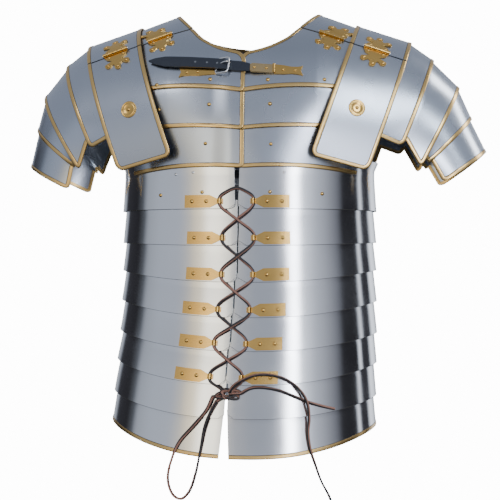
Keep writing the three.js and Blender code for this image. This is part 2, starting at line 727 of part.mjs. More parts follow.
function rod(from, to, radius, sides = 6) {
  return tube([from, to], 1, sides, 2 * radius);
}

function strap() {
  const slot = new THREE.BoxGeometry(SLOT.wide, SLOT.deep, SLOT.tall).translate(SLOT.x, SLOT.out, 0);
  const made = solid(breastPiece(STRAP_LINE, STRAP.thick, evenly(2)));
  return geometryOf(made.subtract(solid(slot.applyMatrix4(breastFrame(BUCKLE.x, BUCKLE.z)))));
}

function buckle() {
  const x = BUCKLE.wide / 2;
  const y = BUCKLE.tall / 2;
  const corners = [
    [-x, -y, BUCKLE.pivot],
    [x, -y, BUCKLE.outer],
    [x, y, BUCKLE.outer],
    [-x, y, BUCKLE.pivot],
  ].map((p) => vec(...p));
  const bars = corners.map((corner, i) => {
    const next = corners[(i + 1) % corners.length];
    const over = next.clone().sub(corner).setLength(BUCKLE.bar * 0.6);
    return rod(corner.clone().sub(over), next.clone().add(over), BUCKLE.bar);
  });
  const tongue = TONGUE.map((row) => vec(row.x, TONGUE_UP, row.out));
  const made = joined(...bars, tube(tongue, 1, 6, 2 * BUCKLE.tongue));
  const fitting = breastPiece(FITTING_RIGHT, TIE.thick, evenly(4));
  return joined(made.applyMatrix4(breastFrame(BUCKLE.x, BUCKLE.z)), fitting);
}

function leftFitting() {
  const { x, z, half } = FITTING_LEFT_LEAF[0];
  const barrel = rod(vec(0, -half, 2), vec(0, half, 2), 2).applyMatrix4(breastFrame(x, z));
  const plate = breastPiece(FITTING_LEFT_PLATE, STRAP.thick + 1, evenly(2));
  return joined(barrel, plate, breastPiece(FITTING_LEFT_LEAF, TIE.thick, evenly(4)));
}

// Laces

// A point on the lace's way through an eye: up is along the hole.
function throughEye(index, side, atBack, up) {
  return vec(0, side * up, EYE.hole / 2).applyMatrix4(eyeFrame(index, side, atBack));
}

// Between two rows of eyes the strands cross at the middle, one over the other.
function crossing(index, atBack, over) {
  const p = vec(0, 0, 0);
  for (const side of [LEFT, RIGHT]) {
    p.add(throughEye(index, side, atBack, 0)).add(throughEye(index + 1, side, atBack, 0));
  }
  p.divideScalar(4);
  return p.add(vec(0, (atBack ? 1 : -1) * (over ? CROSSING : 0), 0));
}

// The lace climbs from the knot from side to side, turns over the top and comes down the other way.
function lacing(atBack, knot, flip) {
  const half = TIE.neck / 2 + 1.5;
  const points = [];
  for (let index = LACED_HOOPS; index >= 1; index--) {
    const side = flip * (index % 2 ? LEFT : RIGHT);
    points.push(throughEye(index, side, atBack, -half), throughEye(index, side, atBack, half));
    if (index > 1) points.push(crossing(index - 1, atBack, false));
  }
  const from = throughEye(1, flip * LEFT, atBack, half);
  const to = throughEye(1, flip * RIGHT, atBack, half);
  for (const share of [0.25, 0.5, 0.75]) {
    const rise = Math.sin(share * Math.PI) * LACE.turn;
    points.push(from.clone().lerp(to, share).add(vec(0, 0, rise)));
  }
  for (let index = 1; index <= LACED_HOOPS; index++) {
    const side = flip * (index % 2 ? RIGHT : LEFT);
    points.push(throughEye(index, side, atBack, half), throughEye(index, side, atBack, -half));
    if (index < LACED_HOOPS) points.push(crossing(index, atBack, true));
  }
  const spread = (p) => knot.clone().lerp(p, LACE.spread);
  const first = points[0];
  const last = points[points.length - 1];
  const apart = vec(first.x < last.x ? LACE.apart : -LACE.apart, 0, 0);
  return [knot.clone().sub(apart), spread(first), ...points, spread(last), knot.clone().add(apart)];
}

function knotBall(centre) {
  const [x, y, z] = KNOT.half;
  return new THREE.SphereGeometry(1, 12, 7).scale(x, y, z).translate(centre.x, centre.y, centre.z);
}

// A point off the front of the girdle.
function frontAt([x, z, out]) {
  const wide = lookUp(GIRTH, "z", z, "wide") + out;
  const deep = lookUp(GIRTH, "z", z, "deep") + out;
  const lateral = 1 - (Math.abs(x - lookUp(GIRTH, "z", z, "lean")) / wide) ** SQUARENESS;
  return vec(x, -deep * lateral ** (1 / SQUARENESS), z);
}

function lace(atBack) {
  const knot = atBack ? throughEye(LACED_HOOPS, LEFT, true, -18).setX(0) : frontAt([KNOT.x, KNOT.z, KNOT.out]);
  const route = lacing(atBack, knot, atBack ? -1 : 1);
  return joined(tube(route, 1, LACE.sides, LACE.wide), knotBall(knot));
}

const freeLace = (points) => tube(points.map(frontAt), 2, LACE.freeSides, LACE.wide);

const group = new THREE.Group();
function add(name, geometry, look) {
  const mesh = new THREE.Mesh(geometry, new THREE.MeshStandardMaterial(look));
  mesh.name = name;
  group.add(mesh);
}

const SIDES = [
  { side: LEFT, word: "left" },
  { side: RIGHT, word: "right" },
];
const FACES = [
  { face: FRONT, word: "front" },
  { face: BACK, word: "back" },
];

for (const { side, word } of SIDES) {
  for (let index = 1; index < HOOPS.length; index++) add(`hoop_${index}_${word}`, hoop(index, side), STEEL);
  const guards = guardSurfaces(side);
  const main = (share, across) => mirrored(guards[0].at(share, across), side);
  for (const { face, word: where } of FACES) {
    CHEST.forEach((row, index) => add(`${where}_${row.name}_${word}`, chestPlate(index, side, face), STEEL));
    add(`collar_hinge_${where}_${word}`, hinge(collarLineAt(face, side), 0, COLLAR.hinge, -face * side), BRASS);
    add(`guard_main_${where}_${word}`, mainLeaf(guards[0], side, face), STEEL);
    add(`guard_hinge_${where}_${word}`, hinge(main, face * GUARD_HINGE.share, GUARD_HINGE.across, side), BRASS);
  }
  add(`collar_${word}`, collarPlate(side), STEEL);
  add(`guard_main_top_${word}`, guardPiece(guards[0], side, MAIN_TOP), STEEL);
  guards.slice(1).forEach((guard, i) => {
    add(`guard_${i + 1}_${word}`, guardPiece(guard, side, STRIP_STOPS), STEEL);
  });
}
add("strap", strap(), LEATHER);
add("buckle", buckle(), STEEL);
add("strap_fitting", leftFitting(), BRASS);
add("lace_front", lace(false), THONG);
add("lace_back", lace(true), THONG);
add("lace_bow", freeLace(BOW), THONG);
add("lace_tail_long", freeLace(TAIL_LONG), THONG);
add("lace_tail_short", freeLace(TAIL_SHORT), THONG);

export default group;
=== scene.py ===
"""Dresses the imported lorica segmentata: smooth plates, brass edging, hinges, ties, rivets and the lace.

Lengths are in millimetres until a mesh is made. The front faces -Y and the wearer's left is +X.
"""

import math

import bpy
import numpy as np
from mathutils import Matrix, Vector


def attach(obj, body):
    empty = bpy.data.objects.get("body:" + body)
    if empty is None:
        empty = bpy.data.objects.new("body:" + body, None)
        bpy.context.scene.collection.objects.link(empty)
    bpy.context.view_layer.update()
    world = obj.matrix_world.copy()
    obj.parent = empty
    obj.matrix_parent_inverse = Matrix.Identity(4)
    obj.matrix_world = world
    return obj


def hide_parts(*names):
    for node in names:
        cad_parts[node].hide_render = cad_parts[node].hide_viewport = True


MM = 0.001
FRONT, BACK = -1, 1
LEFT, RIGHT = 1, -1
SIDES = [(LEFT, "left"), (RIGHT, "right")]
FACES = [(FRONT, "front"), (BACK, "back")]


def table(columns, *rows):
    """Rows as dicts, by the names of their columns."""
    return [dict(zip(columns.split(), row)) for row in rows]

# Plates
PLATE = 1.2
SEAT = 0.3
LAP = 12
SQUARENESS = 2.3
BAND = {"top": 0, "waist": -1.2, "foot": 3.3}
HOOPS = table(
    "front side back meet gap_top gap_foot",
    (-217, -217, -217, 0, 2, 2),
    (-272, -273, -273, -6, 8, 4),
    (-321, -317, -315, -4, 2, 2),
    (-370, -355, -351, -5, 2, 2),
    (-417, -397, -390, -9, 2, 2),
    (-462, -440, -432, -12, 2, 2),
    (-507, -481, -471, -15, 2, 2),
    (-552, -526, -514, -13, 2, 4),
    (-605, -568, -552, -14, 4, 13),
)
LACED_HOOPS = 6
HOOP_CORNER = 6

GIRTH = table(
    "z wide deep lean tilt",
    (-640, 184, 142, -10, 0.026),
    (-520, 181, 141, -6, 0.02),
    (-420, 177, 138, -1, 0.012),
    (-330, 175, 136, 0, 0),
    (-225, 176, 136, 0, 0),
    (-165, 205, 135, 0, 0),
    (-113, 245, 129, 0, 0),
    (-90, 255, 121, 0, 0),
    (-62, 260, 107, 0, 0),
    (-40, 260, 87, 0, 0),
    (-21, 260, 62, 0, 0),
    (-8, 260, 38, 0, 0),
)
SLOPE = {"from": 100, "fall": 0.27}

CHEST = table(
    "name middle half outer top foot",
    ("upper", -115, -108, -113, 145, 152),
    ("middle", -166, -162, -166, 150, 148),
    ("lower", -217, -216, -224, 148, 152),
)
CHEST_BAND = {"top": -0.1, "foot": 2.9, "neck": -0.8}
CHEST_CORNER = 7
# The upper inner corner that is cut from the plates that lap over the other side's.
NOTCH = {"wide": 6.5, "deep": 13, "soft": 2}
NECK_CORNER = 12
CENTRE = {"lap": 3.5, "lift": 2.7, "flat": 12, "fade": 42}
NECK = {
    FRONT: [(0, -60), (29, -52), (56, -38), (74, -20.5)],
    BACK: [(0, -34), (29, -31), (56, -26), (74, -20.5)],
}
HINGE_LINE = [(74, -20.5), (145, -44.5)]
HINGE_GAP = 0.9
COLLAR = {"inner": (99, 4.5), "outer": (185, -27.2), "sweep": 55, "hinge": 0.62}

MAIN_INNER = {"ridge": (152, -12), "corner": (93, -143, -201)}
GUARDS = table(
    "ridge corner turn reach",
    ((228, -37), (169, -119, -221), 0, 1),
    ((259, -63), (213, -101, -188), 1, 0.84),
    ((293, -104), (234, -91, -217), 2, 0.95),
    ((307, -150), (243, -84, -212), 3, 0.93),
    ((322, -199), (258, -78, -240), 4, 0.97),
)
GUARD = {"pivot": (200, -60), "lap": 16, "under": 2.4, "curve": 1.15, "corner": 9}
GUARD_SHARES = np.linspace(-1, 1, 401)
RIDGE = len(GUARD_SHARES) // 2
GUARD_HINGE = {"share": 0.38, "across": 0.46, "slit": 0.009}

# Fittings
TIE = {"reach": 16, "eye": 8, "neck": 8, "thick": 1.3, "rise": 10, "lift": 0.7, "rivets": (22.5, 42)}
EYE = {"hole": 4.6, "wall": 1.1, "half": 3.5, "past": 0.3, "sunk": 0.4}
LEAF = {"wide": 37, "thick": 1.1, "clear": 0.2, "under": 0.1, "start": 0.5}
BARREL = 2.6
KNUCKLES = {"count": 5, "gap": 0.2, "ease": 0.5}
PIN = {"radius": 1.3, "past": 0.8}
RIVET = {"dome": 0.72, "foot": 0.9, "sunk": 0.8}
ROSETTE = {"share": 0.745, "across": 0.46}
ON_PLATE = PLATE / 2 + SEAT
STRAP = {"thick": 2.4, "holes": (-63.6, -47.5, -33.5), "hole_row": 0.48}
BUCKLE = {"x": -26, "z": -81.2, "wide": 18, "tall": 23, "bar": 1.3, "corner": 4.2}
BUCKLE_RISE = {"pivot": 1.5, "outer": 6.2}
TONGUE = {"radius": 1.15, "y": 3}
FITTING = {"x": 42.5, "z": -84.5, "notch": 3.2, "thick": 3.4, "barrel": 2.0, "half": 6.6}
LACE = {"wide": 3.4, "turn": 12, "spread": 0.35, "apart": 5, "past": 1.5, "over": 3.9, "under": 0.6}

CAMERA = {"distance": 2200, "height": -327, "turn": 5, "lens": 111.5}

FLOOR = {"height": -1420, "radius": 3000}

KNOT = {"x": -17, "z": -518, "out": 9, "back": -18}
KNOT_END = {"start": 3, "sag": 0.6, "into": 0.8}


# Numbers and curves


def mix(a, b, t):
    return a + (b - a) * t


def smooth_line(xs, ys):
    """A curve through points that never swings past them: y as a function of x."""
    xs = np.array(xs, float)
    ys = np.array(ys, float)
    rise = np.diff(ys) / np.diff(xs)
    slopes = np.zeros(len(xs))
    slopes[0], slopes[-1] = rise[0], rise[-1]
    for i in range(1, len(xs) - 1):
        if rise[i - 1] * rise[i] > 0:
            slopes[i] = 2 / (1 / rise[i - 1] + 1 / rise[i])

    def read(x):
        x = np.clip(x, xs[0], xs[-1])
        i = np.clip(np.searchsorted(xs, x, side="right") - 1, 0, len(xs) - 2)
        span = xs[i + 1] - xs[i]
        t = (x - xs[i]) / span
        start = (1 + 2 * t) * (1 - t) ** 2 * ys[i] + t * (1 - t) ** 2 * span * slopes[i]
        return start + t * t * (3 - 2 * t) * ys[i + 1] + t * t * (t - 1) * span * slopes[i + 1]

    return read


GIRTH_AT = {
    key: smooth_line([row["z"] for row in GIRTH], [row[key] for row in GIRTH])
    for key in ("wide", "deep", "lean", "tilt")
}
NECK_AT = {face: smooth_line(*zip(*rows)) for face, rows in NECK.items()}


def points(x, y, z):
    return np.stack(np.broadcast_arrays(x, y, z), axis=-1).astype(float)


def unit(v):
    return v / np.maximum(np.linalg.norm(v, axis=-1, keepdims=True), 1e-12)


def rounding(distance, radius):
    """How far a rounded corner draws an edge in, at a distance from the corner."""
    if radius <= 0:
        return 0 * distance
    near = np.clip(distance, 0, radius)
    return radius - np.sqrt(np.maximum(radius**2 - (radius - near) ** 2, 0))


def corner_shares(near, count=7):
    """Shares from 0 to near that crowd together towards 0, for a rounded corner."""
    return near * (1 - np.cos(np.linspace(0, math.pi / 2, count)))


def eased(count, corner, long):
    """Shares from 0 to 1 that crowd together towards both rounded corners."""
    near = min(corner / long, 0.4)
    arc = corner_shares(near)
    middle = np.linspace(near, 1 - near, count)[1:-1]
    return np.concatenate([arc, middle, 1 - arc[::-1]])


def steps(line):
    """The distance from each point of a line to the next."""
    return np.linalg.norm(np.diff(line, axis=0), axis=1)


def run_of(line):
    """How far along a line each of its points is."""
    return np.concatenate([[0], np.cumsum(steps(line))])


def pair(x, y):
    return np.broadcast_arrays(np.asarray(x, float), np.asarray(y, float))


# Surfaces: each takes arrays of s and w, from 0 to 1, and gives points


def waist(side, angle, z, offset):
    def bend(value):
        return np.sign(value) * np.abs(value) ** (2 / SQUARENESS)

    wide = GIRTH_AT["wide"](z) + offset
    deep = GIRTH_AT["deep"](z) + offset
    x = side * wide * bend(np.sin(angle)) + GIRTH_AT["lean"](z)
    return points(x, -deep * bend(np.cos(angle)), z - GIRTH_AT["tilt"](z) * x)


def angle_at(distance, wide):
    return np.sign(distance) * np.arcsin((np.abs(distance) / wide) ** (SQUARENESS / 2))


def foot_height(row, angle):
    end = np.where(np.cos(angle) > 0, row["front"], row["back"])
    return mix(row["side"], end, np.cos(angle) ** 2)


def hoop_tall(index):
    return HOOPS[index - 1]["front"] + LAP - HOOPS[index]["front"]


def hoop(index, side):
    """A hoop half: s from the front end to the back end, w from the top to the foot."""
    row = HOOPS[index]
    lap = LAP / hoop_tall(index)

    def at(s, w):
        gap = mix(row["gap_top"], row["gap_foot"], w) / 2
        start = angle_at(side * row["meet"] + gap, GIRTH[0]["wide"])
        end = math.pi - angle_at(1, GIRTH[0]["wide"])
        angle = mix(start, end, s)
        z = mix(foot_height(HOOPS[index - 1], angle) + LAP, foot_height(row, angle), w)
        down = (w - lap) / (1 - lap)
        above = mix(BAND["top"], BAND["waist"], w / lap)
        offset = np.where(w < lap, above, mix(BAND["waist"], BAND["foot"], down))
        return waist(side, angle, z, offset)

    return at


def depth_share(x, wide):
    """How deep the body's section is at x, as a share of its depth at the middle."""
    return np.maximum(0, 1 - (np.abs(x) / wide) ** SQUARENESS) ** (1 / SQUARENESS)


def chest_point(face, x, z, offset):
    level = z + np.maximum(0, np.abs(x) - SLOPE["from"]) * SLOPE["fall"]
    deep = GIRTH_AT["deep"](level) + offset
    return points(x, face * deep * depth_share(x, GIRTH_AT["wide"](z) + offset), z)


def front_at(x, z, out):
    """A point off the front of the body."""
    deep = GIRTH_AT["deep"](z) + out
    return points(x, -deep * depth_share(x - GIRTH_AT["lean"](z), GIRTH_AT["wide"](z) + out), z)


def chest_foot(row, x):
    share = np.clip(x / row["foot"], 0, 1)
    bulge = row["half"] - (row["middle"] + row["outer"]) / 2
    return mix(row["middle"], row["outer"], share) + 4 * bulge * share * (1 - share)


def centre_lift(x):
    share = np.clip((np.abs(x) - CENTRE["flat"]) / (CENTRE["fade"] - CENTRE["flat"]), 0, 1)
    return CENTRE["lift"] * (1 - share * share * (3 - 2 * share))


def neck_top(face, x):
    sloping = np.interp(x, *zip(*HINGE_LINE))
    start = HINGE_LINE[0][0]
    gap = np.interp(x, [start - HINGE_GAP, start + HINGE_GAP], [SEAT, HINGE_GAP])
    return np.where(x < start, NECK_AT[face](x), sloping) - gap


def chest(index, side, face):
    """A breast or back plate: s from the middle line outward, w from the top to the foot."""
    row = CHEST[index]
    over = face * side > 0

    def at(s, w):
        x = mix(-CENTRE["lap"], mix(row["top"], row["foot"], w), s)
        near = x + CENTRE["lap"]
        full_top = chest_foot(CHEST[index - 1], x) + LAP if index else neck_top(face, x)
        full_foot = chest_foot(row, x)
        top = full_top if index else full_top - rounding(near, NECK_CORNER)
        if index and over:
            top = top - NOTCH["deep"] * np.clip((NOTCH["wide"] - x) / NOTCH["soft"], 0, 1)
        z = mix(top, full_foot + rounding(near, CHEST_CORNER), w)
        down = (full_top - z) / (full_top - full_foot)
        offset = mix(CHEST_BAND["top"] if index else CHEST_BAND["neck"], CHEST_BAND["foot"], down)
        p = chest_point(face, x, z, offset + (centre_lift(x) if over else 0))
        p[..., 0] *= side
        return p

    return at


def breast(x, z, out):
    """A point off the upper breast plates, which is level across the middle line."""
    top = neck_top(FRONT, np.abs(x)) + SEAT
    share = np.clip((top - z) / (top - chest_foot(CHEST[0], np.abs(x))), 0, 1)
    offset = mix(CHEST_BAND["neck"], CHEST_BAND["foot"], share) + centre_lift(x) + out
    return chest_point(FRONT, x, z, offset)


def collar(side):
    """A collar plate: s from the front hinge line to the back one, w outward from the neck."""
    sweep = math.radians(COLLAR["sweep"])

    def at(s, w):
        angle = (2 * s - 1) * sweep
        high = (np.cos(angle) - math.cos(sweep)) / (1 - math.cos(sweep))
        line_x = mix(HINGE_LINE[0][0], HINGE_LINE[1][0], w)
        low = chest_point(FRONT, line_x, np.interp(line_x, *zip(*HINGE_LINE)) + SEAT, CHEST_BAND["neck"])
        x = mix(low[..., 0], mix(COLLAR["inner"][0], COLLAR["outer"][0], w), high)
        z = mix(low[..., 2], mix(COLLAR["inner"][1], COLLAR["outer"][1], w), high)
        return points(side * x, low[..., 1] * -np.sin(angle) / math.sin(sweep), z)

    return at


def arch(ridge, corner, share):
    """An edge from the front corner (-1) over the ridge (0) to the back corner (1)."""
    angle = share * math.pi / 2
    fall = 1 - np.cos(angle)
    x = mix(ridge[0], corner[0], fall ** GUARD["curve"])
    return points(x, -corner[1] * np.sin(angle), mix(ridge[1], corner[2], fall))


def turned(p, side, degrees):
    angle = math.radians(side * degrees)
    x = p[..., 0] - GUARD["pivot"][0]
    z = p[..., 2] - GUARD["pivot"][1]
    turned_x = GUARD["pivot"][0] + x * math.cos(angle) - z * math.sin(angle)
    return points(turned_x, p[..., 1], GUARD["pivot"][1] + x * math.sin(angle) + z * math.cos(angle))


def curve_reader(p):
    """Reads a guard's line at any share."""
    def read(share):
        return np.stack([np.interp(share, GUARD_SHARES, p[:, k]) for k in range(3)], axis=-1)

    return read


def inward(inner, outer, w, depth):
    """A curve under a straight-sided guard, for the next one to lie on."""
    along = np.gradient(mix(inner, outer, w), GUARD_SHARES, axis=0)
    normal = unit(np.cross(outer - inner, along))
    return mix(inner, outer, w) - normal * depth


def guards(side):
    """The guards of one side, in the wearer's left frame: share (-1 to 1) and w outward."""
    inner = arch(MAIN_INNER["ridge"], MAIN_INNER["corner"], GUARD_SHARES)
    outer = arch(GUARDS[0]["ridge"], GUARDS[0]["corner"], GUARD_SHARES)
    lines = [inner, outer]
    found = [{"lines": lines, "stops": [0, 1]}]
    for guard in GUARDS[1:]:
        above = lines[-2:]
        tuck = 1 - GUARD["lap"] / np.linalg.norm(above[1][RIDGE] - above[0][RIDGE])
        edge = turned(arch(guard["ridge"], guard["corner"], GUARD_SHARES), side, guard["turn"])
        reach = GUARD_SHARES * guard["reach"]
        lines = [curve_reader(inward(*above, w, GUARD["under"]))(reach) for w in (tuck, 1)] + [edge]
        lap = GUARD["lap"] / (GUARD["lap"] + np.linalg.norm(edge[RIDGE] - lines[1][RIDGE]))
        found.append({"lines": lines, "stops": [0, lap, 1]})
    for guard in found:
        guard["read"] = [curve_reader(line) for line in guard["lines"]]
    return found


def guard_patch(guard, side, first=-1, last=1, corners=(0, 0)):
    """A guard between two shares: s along it and w outward, with round corners at its ends. It comes
    with its length along the outer edge."""
    stops = guard["stops"]
    wide = np.linalg.norm(guard["lines"][-1][RIDGE] - guard["lines"][0][RIDGE])
    long = steps(guard["lines"][-1]).sum() * (last - first) / 2

    def straight(share, w):
        curves = [read(share) for read in guard["read"]]
        p = curves[0]
        for low, high, a, b in zip(stops, stops[1:], curves, curves[1:]):
            t = ((w - low) / (high - low))[..., None]
            p = np.where(w[..., None] >= low, mix(a, b, t), p)
        p[..., 0] *= side
        return p

    def at(s, w):
        start = rounding(s * long, corners[0]) / wide
        end = rounding((1 - s) * long, corners[1]) / wide
        draw = np.maximum(start, end)
        low = draw if len(stops) == 2 else 0 * draw
        return straight(mix(first, last, s), mix(low, 1 - draw, w))

    return at, long


# Meshes

def add_object(name, data):
    obj = bpy.data.objects.new(name, data)
    bpy.context.scene.collection.objects.link(obj)
    return obj


class Piece:
    """Points and faces gathered for one object, with a material for each face."""

    def __init__(self, name, slot, replaces=()):
        self.name = name
        self.slot = slot
        self.replaces = replaces
        self.points = []
        self.faces = []
        self.looks = []
        self.face_looks = []
        self.count = 0

    def add(self, p, faces, look):
        """look is one material, or a list with one for each face."""
        names = look if isinstance(look, list) else [look] * len(faces)
        self.looks += [name for name in dict.fromkeys(names) if name not in self.looks]
        p = np.asarray(p, float).reshape(-1, 3)
        self.points.append(p)
        self.faces += [[self.count + i for i in face] for face in faces]
        self.face_looks += [self.looks.index(name) for name in names]
        self.count += len(p)

    def build(self, bevel=0.0, sharp=38):
        mesh = bpy.data.meshes.new(self.name)
        mesh.from_pydata((np.concatenate(self.points) * MM).tolist(), [], self.faces)
        for look in self.looks:
            mesh.materials.append(LOOKS[look])
        mesh.polygons.foreach_set("material_index", self.face_looks)
        mesh.polygons.foreach_set("use_smooth", [True] * len(self.faces))
        mesh.set_sharp_from_angle(angle=math.radians(sharp))
        mesh.validate()
        obj = add_object(self.name, mesh)
        if bevel:
            rounded = obj.modifiers.new("rounded", "BEVEL")
            rounded.width = bevel * MM
            rounded.segments = 2
            rounded.limit_method = "ANGLE"
            rounded.angle_limit = math.radians(50)
            rounded.harden_normals = True
        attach(obj, "root")
        if self.replaces:
            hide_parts(*self.replaces)
        return obj


def grid_normals(p, facing):
    normal = np.cross(np.gradient(p, axis=0), np.gradient(p, axis=1))
    return unit(normal) * facing


def wall(piece, at, columns, rows, facing, look, thick=PLATE, lift=0.0):
    """A closed wall over a patch, from its middle points."""
    s, w = np.meshgrid(np.asarray(columns, float), np.asarray(rows, float), indexing="ij")
    p = at(s, w)
    normal = grid_normals(p, facing)
    outer = p + normal * (lift + thick / 2)
    inner = p + normal * (lift - thick / 2)
    n, m = len(columns), len(rows)
    under = n * m
    faces = []

    def quad(a, b, c, d):
        faces.append([a, b, c, d] if facing > 0 else [d, c, b, a])

    for i in range(n - 1):
        for j in range(m - 1):
            a = i * m + j
            quad(a, a + m, a + m + 1, a + 1)
            quad(under + a, under + a + 1, under + a + m + 1, under + a + m)
        first, last = i * m, i * m + m - 1
        quad(first, under + first, under + first + m, first + m)
        quad(last, last + m, under + last + m, under + last)
    end = (n - 1) * m
    for j in range(m - 1):
        quad(j, j + 1, under + j + 1, under + j)
        quad(end + j, under + end + j, under + end + j + 1, end + j + 1)
    piece.add(np.concatenate([outer.reshape(-1, 3), inner.reshape(-1, 3)]), faces, look)


def plate(name, at, columns, rows, facing, look="satin", bevel=0.3):
    """A steel plate in place of the solid of its name."""
    piece = Piece(name + "_plate", "steel", [name])
    wall(piece, at, columns, rows, facing, look)
    piece.build(bevel=bevel)


# The folded edging in section: inset from the edge, height off the plate's middle, and the metal or painted
# shade of the side that follows. A thin near-black strip of painted shade lies along its inner border,
# where the edging stands proud.
EDGING_SECTION = table(
    "inset high look",
    (5.3, 0.6, "grime"),
    (5.3, 0.66, "grime"),
    (4.7, 0.68, "edging"),
    (4.5, 1.05, "edging"),
    (4.0, 1.18, "edging"),
    (0.6, 1.2, "edging"),
    (-0.2, 0.98, "edging"),
    (-0.65, 0.45, "edging"),
    (-0.65, -0.45, "edging"),
    (-0.2, -0.95, "edging"),
    (0.6, -1.1, "edging"),
    (4.5, -1.05, "edging"),
    (4.7, -0.6, "edging"),
)


def painted_shade_section(inset, out):
    """A thin line of painted shade along a plate's edge, where it meets or lies over the next one."""
    high = PLATE / 2
    corners = [(inset, high), (inset, high + DARK_LINE), (-out, high + DARK_LINE)]
    corners += [(x, -y) for x, y in corners[::-1]]
    return [{"inset": x, "high": y, "look": "grime"} for x, y in corners]


DARK_LINE = 0.08
# Lines of painted shade along each hoop's foot, where it lies over the next hoop, and along the collar's
# ends at the hinge lines.
LAP_SECTION = painted_shade_section(0.3, 0.15)
HINGE_LINE_SECTION = painted_shade_section(0.9, 0.6)


def edging(piece, at, path, facing, turn, section=EDGING_SECTION):
    """Brass folded over a patch's edge along a path of (s, w), with its strip of painted shade; other
    sections draw only a line of painted shade. turn is 1 where the plate lies on the side of the outward
    direction crossed with the path's."""
    s, w = np.array(path, float).T
    small = 1e-3
    p = at(s, w)
    ds = at(np.minimum(s + small, 1), w) - at(np.maximum(s - small, 0), w)
    dw = at(s, np.minimum(w + small, 1)) - at(s, np.maximum(w - small, 0))
    normal = unit(np.cross(ds, dw)) * facing
    keep = np.concatenate([[True], steps(p) > 0.05])
    p, normal = p[keep], normal[keep]
    along = unit(np.gradient(p, axis=0))
    into = unit(np.cross(normal, along)) * turn
    rings = [p + into * row["inset"] + normal * row["high"] for row in section]
    sweep(piece, np.stack(rings, axis=1), [row["look"] for row in section], flip=turn < 0)


def sweep(piece, rings, look, flip=False):
    """A closed tube over rings of points. look may be a list, one for each side of the section."""
    n, m = rings.shape[:2]
    sides = look if isinstance(look, list) else [look] * m
    faces = []
    for i in range(n - 1):
        for j in range(m):
            k = (j + 1) % m
            faces.append([i * m + j, i * m + k, (i + 1) * m + k, (i + 1) * m + j])
    faces.append(list(range(m))[::-1])
    faces.append([(n - 1) * m + j for j in range(m)])
    if flip:
        faces = [face[::-1] for face in faces]
    piece.add(rings, faces, sides * (n - 1) + sides[:1] * 2)


def place(at, s, w, facing, lift=0.0):
    """A piece's own frame on a patch: x along s, z outward."""
    small = 1e-3
    s, w = np.array(float(s)), np.array(float(w))
    x = unit(at(s + small, w) - at(s - small, w))
    z = unit(np.cross(x, at(s, w + small) - at(s, w - small))) * facing
    y = np.cross(z, x)
    return np.column_stack([x, y, z]), at(s, w) + z * lift


def moved(p, frame_at):
    turn, origin = frame_at
    return np.asarray(p, float) @ turn.T + origin


def lathe(piece, profile, frame_at, look, sides):
    """A turned shape: rows of (radius, height) about the frame's z."""
    angles = np.linspace(0, 2 * math.pi, sides, endpoint=False)
    rings = [[(r * math.cos(a), r * math.sin(a), h) for r, h in profile] for a in angles]
    m = len(profile)
    faces = []
    for i in range(sides):
        nxt = (i + 1) % sides
        for j in range(m - 1):
            faces.append([i * m + j, nxt * m + j, nxt * m + j + 1, i * m + j + 1])
    piece.add(moved(np.array(rings).reshape(-1, 3), frame_at), faces, look)


def rivet(piece, frame_at, radius, look="brass"):
    angles = np.linspace(0.02, math.pi / 2, 6)
    dome = [(radius * math.sin(a), radius * RIVET["dome"] * math.cos(a)) for a in angles][::-1]
    lathe(piece, [(radius * RIVET["foot"], -RIVET["sunk"]), *dome], frame_at, look, 14)


def tube(piece, line, radius, look, sides):
    """A round bar along a line of points."""
    line = np.asarray(line, float)
    along = unit(np.gradient(line, axis=0))
    side = np.zeros_like(line)
    guide = np.array([0.31, 0.47, 0.83])  # a direction that no bar runs along
    for i, t in enumerate(along):
        guide = unit(guide - t * (guide @ t))
        side[i] = guide
    up = np.cross(along, side)
    angles = np.linspace(0, 2 * math.pi, sides, endpoint=False)
    rings = [line + side * radius * math.cos(a) + up * radius * math.sin(a) for a in angles]
    sweep(piece, np.stack(rings, axis=1), look)


# Looks


def new_look(name, color, roughness, metallic=0.0):
    """A material, its node tree and its shader."""
    look = bpy.data.materials.new(name)
    look.use_nodes = True
    shader = look.node_tree.nodes["Principled BSDF"]
    shader.inputs["Base Color"].default_value = (*color, 1)
    shader.inputs["Roughness"].default_value = roughness
    shader.inputs["Metallic"].default_value = metallic
    return look, look.node_tree, shader


def add_node(tree, kind, inputs=(), **settings):
    """A shader node. inputs gives a value, or the socket that feeds it, by name or number."""
    node = tree.nodes.new(kind)
    for key, value in settings.items():
        setattr(node, key, value)
    for key, value in dict(inputs).items():
        if isinstance(value, bpy.types.NodeSocket):
            tree.links.new(value, node.inputs[key])
        else:
            node.inputs[key].default_value = value
    return node


def noise(tree, scale, stretch=(1, 1, 1), detail=5, roughness=0.5):
    """A noise texture in the object's own coordinates."""
    where = add_node(tree, "ShaderNodeTexCoord").outputs["Object"]
    mapped = add_node(tree, "ShaderNodeMapping", {"Vector": where, "Scale": stretch}).outputs["Vector"]
    values = {"Vector": mapped, "Scale": scale, "Detail": detail, "Roughness": roughness}
    return add_node(tree, "ShaderNodeTexNoise", values).outputs["Fac"]


def ramp(tree, value, stops):
    made = add_node(tree, "ShaderNodeValToRGB", {"Fac": value})
    elements = made.color_ramp.elements
    while len(elements) < len(stops):
        elements.new(0.5)
    for element, (share, color) in zip(elements, stops):
        element.position = share
        element.color = (*color, 1) if isinstance(color, tuple) else (color, color, color, 1)
    return made.outputs["Color"]


def bump(tree, shader, value, strength, distance):
    made = add_node(tree, "ShaderNodeBump", {"Height": value, "Strength": strength, "Distance": distance})
    tree.links.new(made.outputs["Normal"], shader.inputs["Normal"])


